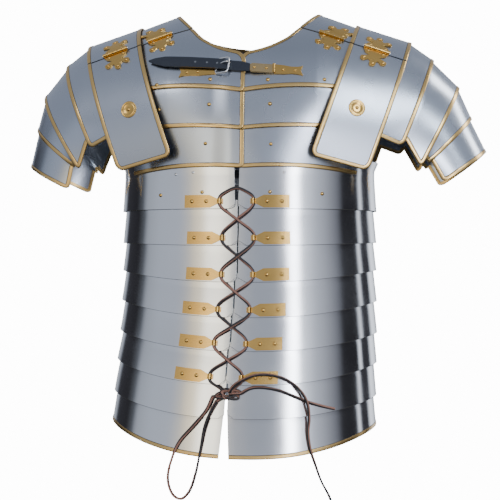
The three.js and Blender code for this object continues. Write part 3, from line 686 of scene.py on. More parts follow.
def metal(name, color, roughness, spread, brushed, strength):
    """A metal whose roughness drifts a little, with fine lines across it."""
    look, tree, shader = new_look(name, color, roughness, 1.0)
    drift = noise(tree, DRIFT_SCALE, detail=3)
    gloss = ramp(tree, drift, [(0.3, roughness - spread), (0.7, roughness + spread)])
    tree.links.new(gloss, shader.inputs["Roughness"])
    lines = noise(tree, LINES_SCALE, brushed, detail=6, roughness=0.65)
    bump(tree, shader, lines, strength, 0.0004)
    return look


def leather(name, color, roughness, grain):
    look, tree, shader = new_look(name, color, roughness)
    bump(tree, shader, noise(tree, GRAIN_SCALE), grain, 0.0003)
    return look


DRIFT_SCALE = 14
LINES_SCALE = 60
GRAIN_SCALE = 900


LOOKS = {
    "steel": metal("steel_polished", (0.66, 0.67, 0.69), 0.13, 0.04, (1, 1, 60), 0.04),
    "satin": metal("steel_satin", (0.42, 0.455, 0.515), 0.27, 0.05, (1, 1, 1), 0.03),
    "steel_bright": metal("steel_bright", (0.75, 0.75, 0.75), 0.12, 0.02, (1, 1, 1), 0.02),
    "brass": metal("brass", (0.64, 0.4, 0.12), 0.22, 0.07, (1, 1, 8), 0.08),
    "edging": metal("brass_edging", (0.64, 0.43, 0.17), 0.3, 0.08, (1, 1, 1), 0.05),
    # A near-black look for the lines of painted shade along edgings, hoop laps and hinge lines.
    "grime": leather("grime", (0.03, 0.027, 0.022), 0.7, 0.1),
    "dark_brass": metal("brass_dark", (0.42, 0.31, 0.16), 0.42, 0.08, (1, 1, 1), 0.08),
    "strap": leather("strap_leather", (0.012, 0.017, 0.028), 0.42, 0.35),
    "hole": leather("strap_hole", (0.12, 0.13, 0.15), 0.7, 0.2),
    "thong": leather("thong_face", (0.25, 0.12, 0.085), 0.6, 0.4),
    # The thong's narrow sides: the same leather painted near black as shade.
    "thong_dark": leather("thong_side_shade", (0.018, 0.014, 0.015), 0.5, 0.3),
}


# Camera and light


def add_camera():
    turn = math.radians(CAMERA["turn"])
    data = bpy.data.cameras.new("camera")
    data.lens = CAMERA["lens"]
    data.clip_end = 20
    obj = add_object("camera", data)
    distance = CAMERA["distance"] * MM
    obj.location = (distance * math.sin(turn), -distance * math.cos(turn), CAMERA["height"] * MM)
    obj.rotation_euler = (math.pi / 2, 0, turn)
    bpy.context.scene.camera = obj


# What the metal reflects, by direction round the object in degrees: 0 is behind the camera, and
# positive towards the wearer's left.
AROUND = table(
    "turn color",
    (-180, (0.7, 0.75, 0.85)),
    (-146, (0.6, 0.65, 0.75)),
    (-134, (0.05, 0.05, 0.06)),
    (-104, (0.03, 0.03, 0.035)),
    (-92, (0.12, 0.13, 0.15)),
    (-84, (0.5, 0.54, 0.62)),
    (-66, (0.62, 0.68, 0.79)),
    (-44, (0.66, 0.71, 0.82)),
    (-36, (0.9, 0.87, 0.82)),
    (-31, (1.5, 1.3, 0.95)),
    (-26, (1.9, 1.65, 1.2)),
    (-21, (3.5, 3.3, 2.8)),
    (-13, (3.3, 3.05, 2.5)),
    (-7, (0.62, 0.64, 0.7)),
    (0, (0.5, 0.54, 0.63)),
    (12, (0.5, 0.54, 0.63)),
    (19, (1.1, 1.15, 1.3)),
    (23.6, (13, 13.4, 14.5)),
    (26.2, (13, 13.4, 14.5)),
    (31, (1.6, 1.7, 1.9)),
    (44, (0.75, 0.8, 0.92)),
    (60, (0.4, 0.42, 0.48)),
    (70, (0.22, 0.23, 0.27)),
    (78, (0.03, 0.03, 0.035)),
    (104, (0.03, 0.03, 0.035)),
    (110, (1.8, 1.9, 2.1)),
    (116, (0.05, 0.05, 0.06)),
    (134, (0.05, 0.05, 0.06)),
    (144, (1.8, 1.9, 2.1)),
    (156, (1.5, 1.6, 1.75)),
    (166, (0.6, 0.64, 0.72)),
    (180, (0.7, 0.75, 0.85)),
)
ABOVE = table(
    "level share",
    (-1, 0.12),
    (-0.5, 0.2),
    (-0.14, 0.8),
    (0, 1.0),
    (0.56, 1.0),
    (0.8, 0.98),
    (1, 0.85),
)


# The even sky that the bands give way to, above and below a level, and the white behind the object.
SKY = {"from": 0.21, "to": 0.27, "color": (0.47, 0.51, 0.6)}
BACKDROP = 14
LIGHTS = table(
    "name place aim size power color",
    ("left", (-1.6, -2.4, 1.6), (0, 0, -0.3), (0.9, 0.9), 10, (1, 1, 1)),
    ("right", (1.9, -2.0, 1.3), (0, 0, -0.2), (1.0, 1.0), 30, (0.84, 0.92, 1.0)),
    ("rim", (1.8, 0.6, 0.9), (0, 0, -0.2), (0.6, 1.2), 18, (1, 1, 1)),
)


def reckon(tree, operation, *values):
    return add_node(tree, "ShaderNodeMath", enumerate(values), operation=operation).outputs[0]


def share_of(tree, value, low, high):
    """How far a value is from low to high, as a share."""
    ends = {"Value": value, "From Min": low, "From Max": high}
    return add_node(tree, "ShaderNodeMapRange", ends).outputs["Result"]


def blend(tree, how, factor, a, b):
    """Two colours mixed, through a Mix node's colour sockets."""
    values = {0: factor, 6: a, 7: b}
    return add_node(tree, "ShaderNodeMix", values, data_type="RGBA", blend_type=how).outputs[2]


def add_world():
    world = bpy.data.worlds.new("studio")
    bpy.context.scene.world = world
    world.use_nodes = True
    tree = world.node_tree
    tree.nodes.clear()
    where = add_node(tree, "ShaderNodeTexCoord").outputs["Generated"]
    x, y, z = add_node(tree, "ShaderNodeSeparateXYZ", {"Vector": where}).outputs
    turn = reckon(tree, "ARCTAN2", x, reckon(tree, "MULTIPLY", y, -1))
    turns = [((row["turn"] + 180) / 360, row["color"]) for row in AROUND]
    around = ramp(tree, share_of(tree, turn, -math.pi, math.pi), turns)
    levels = [((row["level"] + 1) / 2, row["share"]) for row in ABOVE]
    above = ramp(tree, share_of(tree, z, -1, 1), levels)
    steep = share_of(tree, reckon(tree, "ABSOLUTE", z), SKY["from"], SKY["to"])
    bands = blend(tree, "MIX", steep, around, (*SKY["color"], 1))
    studio = add_node(tree, "ShaderNodeBackground", {"Color": blend(tree, "MULTIPLY", 1, bands, above)})
    plain = add_node(tree, "ShaderNodeBackground", {"Color": (1, 1, 1, 1), "Strength": BACKDROP})
    seen = add_node(tree, "ShaderNodeLightPath").outputs["Is Camera Ray"]
    either = add_node(tree, "ShaderNodeMixShader", {0: seen, 1: studio.outputs[0], 2: plain.outputs[0]})
    add_node(tree, "ShaderNodeOutputWorld", {"Surface": either.outputs[0]})


def add_floor():
    """A pale disc, so far down that the main view doesn't show it."""
    angles = np.linspace(0, 2 * math.pi, 96, endpoint=False)
    radius, height = FLOOR["radius"], FLOOR["height"]
    ring = [(radius * math.cos(a), radius * math.sin(a), height) for a in angles]
    mesh = bpy.data.meshes.new("floor")
    mesh.from_pydata((np.array(ring) * MM).tolist(), [], [list(range(len(ring)))])
    mesh.materials.append(new_look("floor", (0.9, 0.9, 0.9), 0.9)[0])
    obj = add_object("floor", mesh)
    obj.visible_glossy = False


def add_lights():
    for row in LIGHTS:
        data = bpy.data.lights.new(row["name"], "AREA")
        data.shape = "RECTANGLE"
        data.size, data.size_y = row["size"]
        data.energy = row["power"]
        data.color = row["color"]
        obj = add_object(row["name"], data)
        obj.location = row["place"]
        way = Vector(row["aim"]) - Vector(row["place"])
        obj.rotation_euler = way.to_track_quat("-Z", "Y").to_euler()


# Laces


# The knots, by number, between which each round of mixing goes.
CATMULL_ROUNDS = [[(0, 1), (1, 2), (2, 3)], [(0, 2), (1, 3)], [(1, 2)]]


def catmull(controls, each):
    """Points along a centripetal curve through the controls, each of its spans in so many steps."""
    c = np.asarray(controls, float)
    c = np.concatenate([[2 * c[0] - c[1]], c, [2 * c[-1] - c[-2]]])
    found = []
    for i in range(len(c) - 3):
        knots = np.concatenate([[0], np.cumsum(steps(c[i : i + 4]) ** 0.5)])
        for t in np.linspace(knots[1], knots[2], each, endpoint=False):
            level = c[i : i + 4]
            for spans in CATMULL_ROUNDS:
                shares = [(t - knots[low]) / (knots[high] - knots[low]) for low, high in spans]
                level = [mix(a, b, share) for a, b, share in zip(level, level[1:], shares)]
            found.append(level[0])
    found.append(c[-2])
    return np.array(found)


# The thong in section: x, y and the look of the side that follows. The broad faces are brown leather; the
# narrow sides and their bevels are near black, as painted shade.
THONG_SECTION = table(
    "x y look",
    (-1.7, 0.9, "thong_dark"),
    (-1.35, 1.5, "thong"),
    (1.35, 1.5, "thong_dark"),
    (1.7, 0.9, "thong_dark"),
    (1.7, -0.9, "thong_dark"),
    (1.35, -1.5, "thong"),
    (-1.35, -1.5, "thong_dark"),
    (-1.7, -0.9, "thong_dark"),
)
# How a thong turns about itself in radians: at its start, by so much to and fro at a rate by length,
# and steadily by length.
TWISTS = {
    "lacing": {"start": 0.75, "swing": 0.4, "rate": 0.05, "steady": 0},
    "free": {"start": 0.7, "swing": 0.5, "rate": 0.03, "steady": 0},
    "turn": {"start": 0, "swing": 0, "rate": 0, "steady": 0.03},
    "end": {"start": 0.7, "swing": 0, "rate": 0, "steady": 0},
}


def thong(piece, line, twist, size=1.0):
    """A leather thong along a line, its brown face outward but for its twist."""
    along = unit(np.gradient(line, axis=0))
    out = line * np.array([1, 1, 0])
    out = unit(out - along * np.sum(out * along, axis=1, keepdims=True))
    across = np.cross(along, out)
    run = run_of(line)
    row = TWISTS[twist]
    angle = (row["start"] + row["swing"] * np.sin(run * row["rate"]) + row["steady"] * run)[:, None]
    u = across * np.cos(angle) + out * np.sin(angle)
    v = out * np.cos(angle) - across * np.sin(angle)
    rings = [line + u * row["x"] * size + v * row["y"] * size for row in THONG_SECTION]
    sweep(piece, np.stack(rings, axis=1), [row["look"] for row in THONG_SECTION], flip=True)


# Ties and lacing


def tie_down(index):
    return 1 - TIE["rise"] / hoop_tall(index)


def share_at(at, distance, w, back):
    """The share along a hoop half at which it is this far from the half's own end."""
    shares = np.linspace(0.5, 1, 1001) if back else np.linspace(0, 0.5, 1001)
    x = at(shares, np.full_like(shares, w))[:, 0]
    away = np.abs(x - (x[-1] if back else x[0]))
    if back:
        return np.interp(distance, away[::-1], shares[::-1])
    return np.interp(distance, away, shares)


TIE_SHAPE = table(
    "x half",
    (0, 3.6),
    (8, 3.6),
    (18, 8.5),
    (52, 8.5),
)


def tie(piece, index, side, back):
    """A tie plate with its eye and two rivets."""
    at = hoop(index, side)
    down = tie_down(index)
    xs = [row["x"] for row in TIE_SHAPE]
    halves = [row["half"] / hoop_tall(index) for row in TIE_SHAPE]

    def strip(s, w):
        x = s * xs[-1]
        return at(share_at(at, TIE["reach"] + x, down, back), down + (2 * w - 1) * np.interp(x, xs, halves))

    columns = sorted({x / xs[-1] for x in xs} | set(np.linspace(0, 1, 14)))
    facing = side if back else -side
    wall(piece, strip, columns, [0, 0.5, 1], facing, "brass", TIE["thick"], PLATE / 2 + TIE["lift"])
    for x in TIE["rivets"]:
        rivet(piece, place(strip, x / xs[-1], 0.5, facing, PLATE / 2 + TIE["thick"]), 2.7)
    eye_frame = eye_place(index, side, back)
    hole, half = EYE["hole"], EYE["half"]
    rings = []
    for a in np.linspace(-EYE["past"], math.pi + EYE["past"], 15):
        ring = []
        for thick, y in ((EYE["wall"], -half), (EYE["wall"], half), (0, half), (0, -half)):
            high = (hole + thick) * math.sin(a) if 0 < a < math.pi else -EYE["sunk"]
            ring.append(((hole / 2 + thick) * math.cos(a), y, high))
        rings.append(moved(ring, eye_frame))
    sweep(piece, np.array(rings), "brass", flip=True)


def eye_place(index, side, back):
    at = hoop(index, side)
    down = tie_down(index)
    share = share_at(at, TIE["reach"] + TIE["eye"] / 2, down, back)
    return place(at, share, down, -side, PLATE / 2 + TIE["thick"])


def through_eye(index, side, back, up):
    return moved([[0, side * up, EYE["hole"] / 2]], eye_place(index, side, back))[0]


def crossing(index, back, over):
    p = sum(through_eye(i, side, back, 0) for i in (index, index + 1) for side in (LEFT, RIGHT)) / 4
    return p + np.array([0, (1 if back else -1) * LACE["over" if over else "under"], 0])


def lacing(back, knot, flip):
    """The lace's way up from the knot, over the top and down again."""
    half = TIE["neck"] / 2 + LACE["past"]
    route = []
    for index in range(LACED_HOOPS, 0, -1):
        side = flip * (LEFT if index % 2 else RIGHT)
        route += [through_eye(index, side, back, -half), through_eye(index, side, back, half)]
        if index > 1:
            route.append(crossing(index - 1, back, False))
    start = through_eye(1, flip * LEFT, back, half)
    end = through_eye(1, flip * RIGHT, back, half)
    for share in (0.2, 0.5, 0.8):
        route.append(mix(start, end, share) + np.array([0, 0, math.sin(share * math.pi) * LACE["turn"]]))
    for index in range(1, LACED_HOOPS + 1):
        side = flip * (RIGHT if index % 2 else LEFT)
        route += [through_eye(index, side, back, half), through_eye(index, side, back, -half)]
        if index < LACED_HOOPS:
            route.append(crossing(index, back, True))
    apart = np.array([LACE["apart"] if route[0][0] < route[-1][0] else -LACE["apart"], 0, 0])
    first = mix(knot, route[0], LACE["spread"])
    last = mix(knot, route[-1], LACE["spread"])
    return [knot - apart, first, *route, last, knot + apart]


KNOT_TURNS = table(
    "long high deep tilt x z",
    (16, 4.4, 4.2, 10, 0, 0),
    (12, 4.8, 4.4, -20, 3, -0.5),
    (4.6, 6.2, 5.2, 8, -2, 0.4),
)


def knot_turns(piece, centre):
    a = np.linspace(0, 2 * math.pi, 33)
    for row in KNOT_TURNS:
        x = row["long"] * np.cos(a)
        z = row["high"] * np.sin(a)
        y = row["deep"] * 0.55 * np.sin(a + 0.8)
        t = math.radians(row["tilt"])
        along = x * math.cos(t) - z * math.sin(t) + row["x"]
        up = x * math.sin(t) + z * math.cos(t) + row["z"]
        thong(piece, points(along, y, up) + centre, "turn", 0.95)


def knot_ends(piece, centre):
    """The short runs from the knot to where the free laces start."""
    for row in (BOW[0], BOW[-1], TAIL_LONG[0], TAIL_SHORT[0]):
        end = front_at(*row)
        way = unit(end - centre)
        start = centre + way * KNOT_END["start"]
        middle = mix(start, end, 0.5) - np.array([0, KNOT_END["sag"], 0])
        thong(piece, catmull([start, middle, end + way * KNOT_END["into"]], 6), "end", 0.97)


def lace(back):
    name = "lace_back" if back else "lace_front"
    if back:
        knot = through_eye(LACED_HOOPS, LEFT, True, KNOT["back"]) * np.array([0, 1, 1])
    else:
        knot = front_at(KNOT["x"], KNOT["z"], KNOT["out"])
    piece = Piece(name + "_thong", "lace_leather", [name])
    thong(piece, catmull(lacing(back, knot, -1 if back else 1), 7), "lacing")
    knot_turns(piece, knot)
    if not back:
        knot_ends(piece, knot)
    piece.build(sharp=60)


# The free lace, point by point: x, z and how far it stands off the body.
BOW = [
    (-37.2, -521.5, 9),
    (-46, -540, 8),
    (-63.8, -561.1, 6.2),
    (-83.8, -584.4, 5.6),
    (-93.1, -606.3, 5.6),
    (-98.4, -627.6, 5.6),
    (-97.1, -642.2, 5.6),
    (-90, -655.5, 5.6),
    (-80, -659, 5.6),
    (-69, -649, 5.6),
    (-59.5, -622.3, 5.6),
    (-53.6, -591.7, 5.6),
    (-47.9, -561.1, 7.4),
    (-39.5, -541.1, 8.4),
    (-31.8, -527.2, 9),
]
TAIL_LONG = [
    (-11, -509.2, 11.2),
    (-5.5, -504, 13.4),
    (1.4, -499.9, 14),
    (17.3, -493.3, 12.6),
    (33.9, -491.9, 10),
    (55.9, -496.6, 8.4),
    (72.5, -506.6, 9.4),
    (83.8, -519.9, 10.6),
    (89.1, -533.2, 10.6),
    (90.5, -553.1, 7),
    (89.1, -569.1, 5.6),
    (91.8, -591.7, 5.6),
    (98.5, -613, 5.6),
    (106.4, -635.6, 5.6),
    (117.1, -657.5, 5.6),
    (121.5, -674, 5.6),
    (123, -690, 5.6),
]
TAIL_SHORT = [
    (-0.1, -517.2, 9),
    (11, -511.4, 7.4),
    (22.6, -509.4, 6.4),
    (50.6, -513.2, 5.5),
    (72.5, -521.9, 5.5),
    (89.1, -529.2, 5.5),
    (105.1, -534.5, 5.5),
    (123.7, -539.8, 5.5),
]


def free_lace(name, controls):
    line = catmull([front_at(*row) for row in controls], 8)
    piece = Piece(name + "_thong", "lace_leather", [name])
    thong(piece, line, "free")
    obj = piece.build(sharp=60)
    length = steps(line).sum() * MM


# Hinges, rosettes and rivets

LOBES = table(
    "x y radius",
    (0, 27.2, 4.7),
    (13.8, 21.2, 4.7),
    (-13.8, 21.2, 4.7),
    (10.5, 6, 5.4),
    (-10.5, 6, 5.4),
)
LEAF_HALF = [(18, 0.5), (17.5, 4), (13.5, 9.5), (7, 14.5), (10.5, 18.5), (3.8, 23.5)]
LEAF_BODY = LEAF_HALF + [(-x, y) for x, y in LEAF_HALF[::-1]]
LEAF_MIDDLE = (0, 12.5)


def leaf_outline(count=120):
    """How far the lobed leaf reaches from its middle, in each direction."""
    found = []
    mx, my = LEAF_MIDDLE
    for angle in np.linspace(0, 2 * math.pi, count, endpoint=False):
        dx, dy = math.cos(angle), math.sin(angle)
        reach = 0.0
        for (ax, ay), (bx, by) in zip(LEAF_BODY, LEAF_BODY[1:] + LEAF_BODY[:1]):
            ex, ey = bx - ax, by - ay
            det = dx * -ey + dy * ex
            if abs(det) > 1e-9:
                t = ((ax - mx) * -ey + (ay - my) * ex) / det
                u = (dx * (ay - my) - dy * (ax - mx)) / det
                if t > 0 and 0 <= u <= 1:
                    reach = max(reach, t)
        for lobe in LOBES:
            cx, cy = lobe["x"] - mx, lobe["y"] - my
            along = cx * dx + cy * dy
            off = lobe["radius"] ** 2 - (cx * cx + cy * cy - along * along)
            far = along + math.sqrt(max(off, 0))
            if off > 0 and along > 0 and my + far * dy > LEAF["start"]:
                reach = max(reach, far)
        found.append((mx + reach * dx, max(my + reach * dy, LEAF["start"])))
    return np.array(found)


LEAF_EDGE = leaf_outline()


def leaf(piece, spot, facing):
    """A lobed hinge leaf over spot(x, y), with its rivets. y runs from the barrel to the lobes."""
    middle = np.array(LEAF_MIDDLE)
    shares = [0.0, 0.35, 0.7, 1.0]
    flat = np.concatenate([middle + (LEAF_EDGE - middle) * share for share in shares])
    small = 0.2
    x, y = flat[:, 0], flat[:, 1]
    p = spot(x, y)
    normal = unit(np.cross(spot(x + small, y) - spot(x - small, y), spot(x, y + small) - p)) * facing
    top = ON_PLATE + LEAF["clear"] + LEAF["thick"]
    low = p + normal * (ON_PLATE + LEAF["under"])
    n, rings = len(LEAF_EDGE), len(shares)
    faces = []
    for r in range(rings):
        down = n if r < rings - 1 else n * rings
        for k in range(n):
            a, b = r * n + k, r * n + (k + 1) % n
            face = [a, b, b + down, a + down]
            faces.append(face[::-1] if facing > 0 else face)
    piece.add(np.concatenate([p + normal * top, low]), faces, "brass")
    for lobe in LOBES:
        spot_at = lambda s, w: spot(lobe["x"] + s, lobe["y"] + w)
        rivet(piece, place(spot_at, 0, 0, facing, top), 2.2)


def barrel(piece, spot, facing):
    """The rolled joint of a hinge, in knuckles on a pin."""
    ends = np.linspace(-LEAF["wide"] / 2, LEAF["wide"] / 2, KNUCKLES["count"] + 1)
    turn = place(lambda s, w: spot(s, 0 * s + w), 0, 0.6, facing)[0]
    lift = turn[:, 2] * (ON_PLATE + BARREL)
    a, b = spot(ends[0], 0.0), spot(ends[-1], 0.0)
    at_x = lambda x: mix(a, b, (x - ends[0]) / (ends[-1] - ends[0])) + lift
    gap, ease = KNUCKLES["gap"], KNUCKLES["ease"]
    for low, high in zip(ends, ends[1:]):
        line = [at_x(x) for x in (low + gap, low + ease, high - ease, high - gap)]
        tube(piece, line, BARREL, "brass", 16)
    pin = [at_x(ends[0] - PIN["past"]), at_x(ends[-1] + PIN["past"])]
    tube(piece, pin, PIN["radius"], "steel_bright", 12)


def arc_reader(at, w, low, high):
    """Shares along a patch at a fixed w, and how far along it each is."""
    shares = np.linspace(low, high, 600)
    return shares, run_of(at(shares, np.full_like(shares, w)))


def guard_hinge(guard, side, face, word, where):
    """Over the slit between the main guard's leaves. The shares go from -1 (front) to 1 (back)."""
    share_here, across = face * GUARD_HINGE["share"], GUARD_HINGE["across"]

    def straight(share, w):
        p = mix(guard["read"][0](share), guard["read"][1](share), np.asarray(w)[..., None])
        p[..., 0] *= side
        return p

    shares, run = arc_reader(straight, across, -1, 1)
    start = np.interp(share_here, shares, run)
    wide = steps(straight(np.array([share_here] * 2), np.array([0.0, 1.0])))[0]
    piece = Piece(f"guard_hinge_{where}_{word}_brass", "brass", [f"guard_hinge_{where}_{word}"])
    for way in (-1, 1):
        def spot(x, y, way=way):
            x, y = pair(x, y)
            return straight(np.interp(start + way * y, run, shares), across + x / wide)

        leaf(piece, spot, side * way)
        if way == 1:
            barrel(piece, spot, side)
    piece.build(bevel=0.2)


def collar_hinge(side, face, word, where):
    """Over the line between a breast or back plate and the collar plate."""
    (x0, z0), (x1, z1) = HINGE_LINE
    long = math.hypot(x1 - x0, z1 - z0)
    ux, uz = (x1 - x0) / long, (z1 - z0) / long
    share = COLLAR["hinge"]
    cx, cz = mix(x0, x1, share), mix(z0, z1, share)

    def finish(p):
        return p * np.array([side, -face, 1])

    # Distances down the plate, measured on its own curve.
    drops = np.linspace(0, 60, 300)
    down_run = run_of(chest_point(FRONT, cx + uz * drops, cz - ux * drops, CHEST_BAND["neck"]))

    def below(x, y):
        x, y = pair(x, y)
        drop = np.interp(y, down_run, drops)
        right, up = cx + ux * x + uz * drop, cz + uz * x - ux * drop
        return finish(chest_point(FRONT, right, up, CHEST_BAND["neck"]))

    on_collar = collar(LEFT)
    shares, run = arc_reader(on_collar, share, 0, 0.5)
    wide = steps(on_collar(np.array([0.0, 0.0]), np.array([0.0, 1.0])))[0]

    def above(x, y):
        x, y = pair(x, y)
        return finish(on_collar(np.interp(y, run, shares), share + x / wide))

    piece = Piece(f"collar_hinge_{where}_{word}_brass", "brass", [f"collar_hinge_{where}_{word}"])
    leaf(piece, below, face * side)
    leaf(piece, above, -face * side)
    barrel(piece, above, -face * side)
    piece.build(bevel=0.2)


ROSETTE_PROFILE = [
    (11.5, -0.6),
    (11.5, 0.7),
    (11.1, 1.0),
    (10.5, 1.0),
    (10.1, 0.75),
    (8.6, 0.75),
    (8.2, 1.0),
    (7.6, 1.0),
    (7.2, 0.75),
    (3.0, 0.8),
    (0.01, 0.8),
]


def rosette(piece, frame_at):
    lathe(piece, ROSETTE_PROFILE, frame_at, "brass", 40)
    turn, origin = frame_at
    rivet(piece, (turn, origin + turn[:, 2] * 0.9), 2.5)


# Rivets on the breast plates and the first hoop: plate, x, z, radius and metal.
RIVETS = table(
    "plate x z radius look",
    ("upper", -42.7, -98, 2.8, "brass"),
    ("upper", -115.9, -104.4, 2.8, "brass"),
    ("upper", 35, -99.4, 2.8, "brass"),
    ("upper", 110.2, -99, 2.8, "brass"),
    ("middle", -43.3, -132.2, 2.8, "brass"),
    ("middle", 38.3, -132.2, 2.8, "brass"),
    ("middle", -112.8, -138, 2.8, "brass"),
    ("lower", -48, -184.7, 2.6, "brass"),
    ("lower", 39.7, -186, 2.6, "brass"),
    ("hoop", -111, -253, 2.6, "brass"),
    ("hoop", -52.4, -249.7, 2.6, "brass"),
    ("hoop", 38.5, -249.7, 2.6, "brass"),
    ("hoop", 107, -251.8, 2.6, "brass"),
    ("hoop", -89.4, -225.3, 1.9, "steel_bright"),
    ("hoop", -65.3, -222.9, 1.9, "steel_bright"),
    ("hoop", 57.1, -223.5, 1.9, "steel_bright"),
)


def plate_point(plate, face, x, z):
    """The middle of a plate at a place seen from the front or the back."""
    x, z = pair(x, z)
    if plate == "hoop":
        top, foot = HOOPS[0]["front"], HOOPS[1]["front"]
        share = np.clip((z - top) / (foot - top), 0, 1)
        return front_at(x, z, mix(BAND["waist"], BAND["foot"], share)) * np.array([1, -face, 1])
    index = [row["name"] for row in CHEST].index(plate)
    out = np.abs(x)
    top = chest_foot(CHEST[index - 1], out) + LAP if index else neck_top(face, out)
    share = (top - z) / (top - chest_foot(CHEST[index], out))
    offset = mix(CHEST_BAND["top"] if index else CHEST_BAND["neck"], CHEST_BAND["foot"], share)
    return chest_point(face, x, z, offset + np.where(face * x > 0, centre_lift(out), 0))


def plate_rivets():
    for face, where in FACES:
        for kind, slot_name in (("brass", "brass"), ("steel_bright", "steel")):
            piece = Piece(f"rivets_{where}_{slot_name}", slot_name)
            for row in RIVETS:
                if row["look"] == kind:
                    at = lambda s, w: plate_point(row["plate"], face, row["x"] + s, row["z"] + w)
                    rivet(piece, place(at, 0, 0, -face, PLATE / 2), row["radius"], row["look"])
            piece.build()


# Plates


def girdle(side, word):
    brass = Piece(f"ties_{word}", "brass")
    lap_shade = Piece(f"laps_{word}", "steel")
    foot = [(s, 1) for s in np.linspace(0, 1, 90)]
    for index in range(1, len(HOOPS)):
        at = hoop(index, side)
        tall = hoop_tall(index)
        last = index == len(HOOPS) - 1
        corner = 0 if last else HOOP_CORNER
        shares = np.linspace(0, 1, 400)
        long = steps(at(shares, 0 * shares + 0.5)).sum()

        def patch(s, w, at=at, tall=tall, long=long, corner=corner):
            return at(s, w * (1 - rounding(s * long, corner) / tall))

        near = HOOP_CORNER / long
        columns = np.concatenate([corner_shares(near), np.linspace(near, 1, 72)[1:]])
        rows = [0, LAP / tall, *np.linspace(LAP / tall, 1, 6)[1:]]
        plate(f"hoop_{index}_{word}", patch, columns, rows, -side, "steel", 0.5)
        if last:
            hem = Piece(f"hem_{word}", "brass")
            edging(hem, patch, foot, -side, side)
            hem.build()
        else:
            # A line of painted shade along the hoop's foot, where it lies over the next hoop.
            edging(lap_shade, patch, foot, -side, side, LAP_SECTION)
        if index <= LACED_HOOPS:
            for back in (False, True):
                tie(brass, index, side, back)
    brass.build(bevel=0.15)
    lap_shade.build()


def chest_plates(side, word):
    for face, where in FACES:
        trim = Piece(f"edging_{where}_{word}", "brass")
        for index, row in enumerate(CHEST):
            at = chest(index, side, face)
            long = row["foot"] + CENTRE["lap"]
            near = (CHEST_CORNER if index else NECK_CORNER) / long
            tip = (HINGE_LINE[0][0] + CENTRE["lap"]) / (row["top"] + CENTRE["lap"])
            notch = (np.array([4.4, 5.2, 6.4]) + CENTRE["lap"]) / long
            rest = np.linspace(near, 1, 60)[1:]
            columns = np.unique(np.concatenate([corner_shares(near, 9), rest, [tip], notch]))
            plate(f"{where}_{row['name']}_{word}", at, columns, np.linspace(0, 1, 14), side * face)
            path = [] if index else [(s, 0.0) for s in columns[::-1] if s <= tip]
            path += [(0.0, w) for w in np.linspace(0, 1, 12)[0 if index else 1 : -1]]
            path += [(s, 1.0) for s in columns]
            edging(trim, at, path, side * face, -side * face)
        trim.build()


def collars(side, word):
    at = collar(side)
    plate(f"collar_{word}", at, np.linspace(0, 1, 50), np.linspace(0, 1, 10), -side)
    trim = Piece(f"edging_collar_{word}", "brass")
    edging(trim, at, [(s, 0.0) for s in np.linspace(0.01, 0.99, 50)], -side, -side)
    # Lines of painted shade along the collar's ends, at the hinge lines.
    for end, turn in ((0.0, side), (1.0, -side)):
        path = [(end, w) for w in np.linspace(0.03, 0.98, 12)]
        edging(trim, at, path, -side, turn, HINGE_LINE_SECTION)
    trim.build()


def main_guard(guard, trim, side, word):
    """The two leaves and the top of the main guard, with their edging."""
    share, slit, corner = GUARD_HINGE["share"], GUARD_HINGE["slit"], GUARD["corner"]
    leaves = [
        ("front", -1, -share - slit, (corner, 0)),
        ("top", -share, share, (0, 0)),
        ("back", share + slit, 1, (0, corner)),
    ]
    for name, first, last, corners in leaves:
        at, long = guard_patch(guard, side, first, last, corners)
        columns = eased(40, max(*corners, 1), long)
        plate(f"guard_main_{name}_{word}", at, columns, np.linspace(0, 1, 10), -side)
        low = [(s, 0.0) for s in columns]
        high = [(s, 1.0) for s in columns]
        across = np.linspace(0, 1, 14)[1:-1]
        if name == "top":
            edging(trim, at, low, -side, -side)
            edging(trim, at, high, -side, side)
        elif name == "front":
            edging(trim, at, low[::-1] + [(0.0, w) for w in across] + high, -side, side)
        else:
            edging(trim, at, low + [(1.0, w) for w in across] + high[::-1], -side, -side)


def shoulder(side, word):
    found = guards(side)
    corner = GUARD["corner"]
    trim = Piece(f"edging_guards_{word}", "brass")
    main_guard(found[0], trim, side, word)
    for index, guard in enumerate(found[1:], 1):
        at, long = guard_patch(guard, side, corners=(corner, corner))
        columns = eased(80, corner, long)
        start = guard["stops"][1]
        plate(f"guard_{index}_{word}", at, columns, [0, *np.linspace(start, 1, 8)], -side)
        path = [(0.0, w) for w in np.linspace(start, 1, 10)[:-1]] + [(s, 1.0) for s in columns]
        path += [(1.0, w) for w in np.linspace(1, start, 10)[1:]]
        edging(trim, at, path, -side, side)
    trim.build()
    discs = Piece(f"rosette_{word}", "brass")
    at = guard_patch(found[0], side)[0]
    rosette(discs, place(at, (1 - ROSETTE["share"]) / 2, ROSETTE["across"], -side, PLATE / 2))
    discs.build(sharp=60)
    for face, where in FACES:
        guard_hinge(found[0], side, face, word, where)
        collar_hinge(side, face, word, where)


# Strap and buckle

STRAP_LINE = table(
    "x z half out",
    (-129, -70.2, 0.6, 3.7),
    (-119, -70.9, 4.2, 3.7),
    (-106, -71.9, 6.7, 3.7),
    (-94, -72.6, 7, 3.7),
    (-70, -73.8, 7, 3.7),
    (-45, -75.4, 6.8, 3.7),
    (-29, -76.6, 6.6, 3.7),
    (-22, -77.8, 6.6, 3.7),
    (-13, -79.4, 6.6, 0.6),
    (0, -80.6, 6.6, 0.6),
    (10.6, -82, 5, 0.6),
)
FITTING_RIGHT = table(
    "x z half out",
    (-86, -87.4, 7, 0.1),
    (-79, -87, 5.4, 0.1),
    (-70, -86.6, 5.2, 0.1),
    (-58, -86, 6.2, 0.1),
    (-35, -85, 5.4, 0.1),
)
FITTING_LEFT_PLATE = table(
    "x z half out",
    (10.9, -82.5, 4.5, 0),
    (14, -82.5, 5.8, 0),
    (41.5, -84.5, 5.8, 0),
)
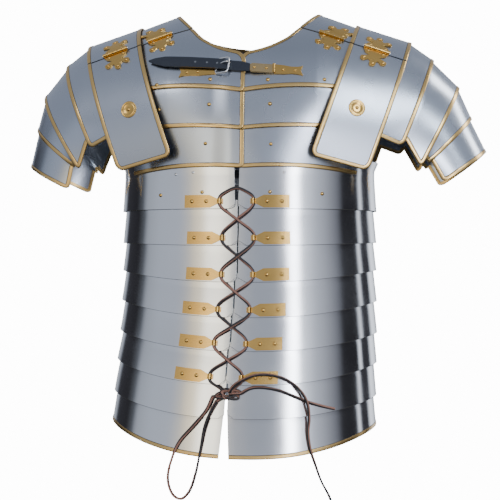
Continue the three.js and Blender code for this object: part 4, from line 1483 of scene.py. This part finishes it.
FITTING_LEFT_LEAF = table(
    "x z half out",
    (43.5, -84.5, 6.8, 0),
    (56, -85.5, 6.2, 0),
    (66, -86.2, 4.9, 0),
    (75, -86.8, 5.2, 0),
    (82, -87, 6.8, 0),
)
# A punched hole's rim and floor: radius and height.
HOLE_PROFILE = [(1.5, -0.3), (1.5, 0.05), (1.1, 0.1), (0.01, 0.0)]


def breast_patch(line, thick, notch=0.0, end=LEFT):
    """A flat piece along a line over the breast: s along it, w from its top edge down."""
    xs, zs, halves, outs = ([row[key] for row in line] for key in ("x", "z", "half", "out"))

    def at(s, w):
        x = mix(xs[0], xs[-1], s)
        z = np.interp(x, xs, zs) + np.interp(x, xs, halves) * (1 - 2 * w)
        near = s if end == LEFT else 1 - s
        draw = end * notch * (1 - np.abs(2 * w - 1)) * np.clip((near - 0.8) / 0.2, 0, 1)
        return breast(x - draw, z, ON_PLATE + np.interp(x, xs, outs) + thick / 2)

    return at


def line_share(line, x):
    """The share along a line of rows at which x lies."""
    return (x - line[0]["x"]) / (line[-1]["x"] - line[0]["x"])


def breast_place(x, z, lift=ON_PLATE):
    return place(lambda s, w: breast(x + s, z - w, 0), 0, 0, -1, lift)


def strap():
    piece = Piece("strap_leather", "strap_leather", ["strap"])
    thick = STRAP["thick"]
    at = breast_patch(STRAP_LINE, thick)
    bends = [line_share(STRAP_LINE, row["x"]) for row in STRAP_LINE]
    columns = np.unique(np.concatenate([np.linspace(0, 1, 80), bends]))
    wall(piece, at, columns, np.linspace(0, 1, 7), -1, "strap", thick)
    for x in STRAP["holes"]:
        frame_at = place(at, line_share(STRAP_LINE, x), STRAP["hole_row"], -1, thick / 2)
        lathe(piece, HOLE_PROFILE, frame_at, "hole", 16)
    piece.build(bevel=0.5)


def rounded_bars(corners, radius, each=6):
    """A closed line through corners, each turned in a small arc."""
    corners = np.asarray(corners, float)
    line = []
    for i, corner in enumerate(corners):
        before = corners[i - 1]
        after = corners[(i + 1) % len(corners)]
        a = corner + unit(before - corner) * radius
        b = corner + unit(after - corner) * radius
        for t in np.linspace(0, 1, each):
            line.append((1 - t) ** 2 * a + 2 * t * (1 - t) * corner + t * t * b)
    return np.array(line)


def leaf_on_breast(piece, line, end, rivets_at, row, radius):
    """A brass leaf along a line, with a notched end and rivets."""
    at = breast_patch(line, TIE["thick"], FITTING["notch"], end)
    wall(piece, at, np.linspace(0, 1, 30), np.linspace(0, 1, 5), -1, "brass", TIE["thick"])
    for x in rivets_at:
        rivet(piece, place(at, line_share(line, x), row, -1, TIE["thick"] / 2), radius)


def buckle():
    piece = Piece("buckle_frame", "buckle_steel", ["buckle"])
    frame_at = breast_place(BUCKLE["x"], BUCKLE["z"])
    x, y = BUCKLE["wide"] / 2, BUCKLE["tall"] / 2
    low, high = BUCKLE_RISE["pivot"], BUCKLE_RISE["outer"]
    line = rounded_bars([(-x, -y, low), (x, -y, high), (x, y, high), (-x, y, low)], BUCKLE["corner"])
    tube(piece, moved(np.concatenate([line, line[:1]]), frame_at), BUCKLE["bar"], "steel_bright", 12)
    bends = [(-x - 0.2, low + 1.4), (-4.2, 3.2), (-0.6, 5.4), (3, 7.6)]
    bends += [(x - 1, high + 2.5), (x + 1.4, high + 2.1)]
    tongue = catmull([(along, TONGUE["y"], out) for along, out in bends], 5)
    tube(piece, moved(tongue, frame_at), TONGUE["radius"], "steel_bright", 10)
    piece.build(sharp=60)
    fitting = Piece("buckle_plate", "brass")
    leaf_on_breast(fitting, FITTING_RIGHT, RIGHT, (-75, -60), 0.6, 2.1)
    fitting.build(bevel=0.15)


def strap_fitting():
    piece = Piece("strap_fitting_brass", "brass", ["strap_fitting"])
    thick = FITTING["thick"]
    at = breast_patch(FITTING_LEFT_PLATE, thick)
    wall(piece, at, np.linspace(0, 1, 20), [0, 0.5, 1], -1, "dark_brass", thick)
    for x in (16.5, 32.5):
        rivet(piece, place(at, line_share(FITTING_LEFT_PLATE, x), 0.5, -1, thick / 2), 2.0)
    leaf_on_breast(piece, FITTING_LEFT_LEAF, LEFT, (55, 71), 0.5, 2.0)
    pin = [(0, y, FITTING["barrel"]) for y in (-FITTING["half"], FITTING["half"])]
    tube(piece, moved(pin, breast_place(FITTING["x"], FITTING["z"])), FITTING["barrel"], "brass", 14)
    piece.build(bevel=0.2)


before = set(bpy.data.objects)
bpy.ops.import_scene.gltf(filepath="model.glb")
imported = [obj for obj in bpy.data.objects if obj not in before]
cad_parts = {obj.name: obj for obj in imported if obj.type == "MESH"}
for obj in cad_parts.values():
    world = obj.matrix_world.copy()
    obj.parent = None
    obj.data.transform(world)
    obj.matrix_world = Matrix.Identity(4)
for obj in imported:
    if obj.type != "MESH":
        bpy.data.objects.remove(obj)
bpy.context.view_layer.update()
add_camera()
free_lace("lace_bow", BOW)
free_lace("lace_tail_long", TAIL_LONG)
free_lace("lace_tail_short", TAIL_SHORT)
lace(False)
lace(True)
for side, word in SIDES:
    girdle(side, word)
    chest_plates(side, word)
    collars(side, word)
    shoulder(side, word)
plate_rivets()
strap()
buckle()
strap_fitting()
add_world()
add_floor()
add_lights()
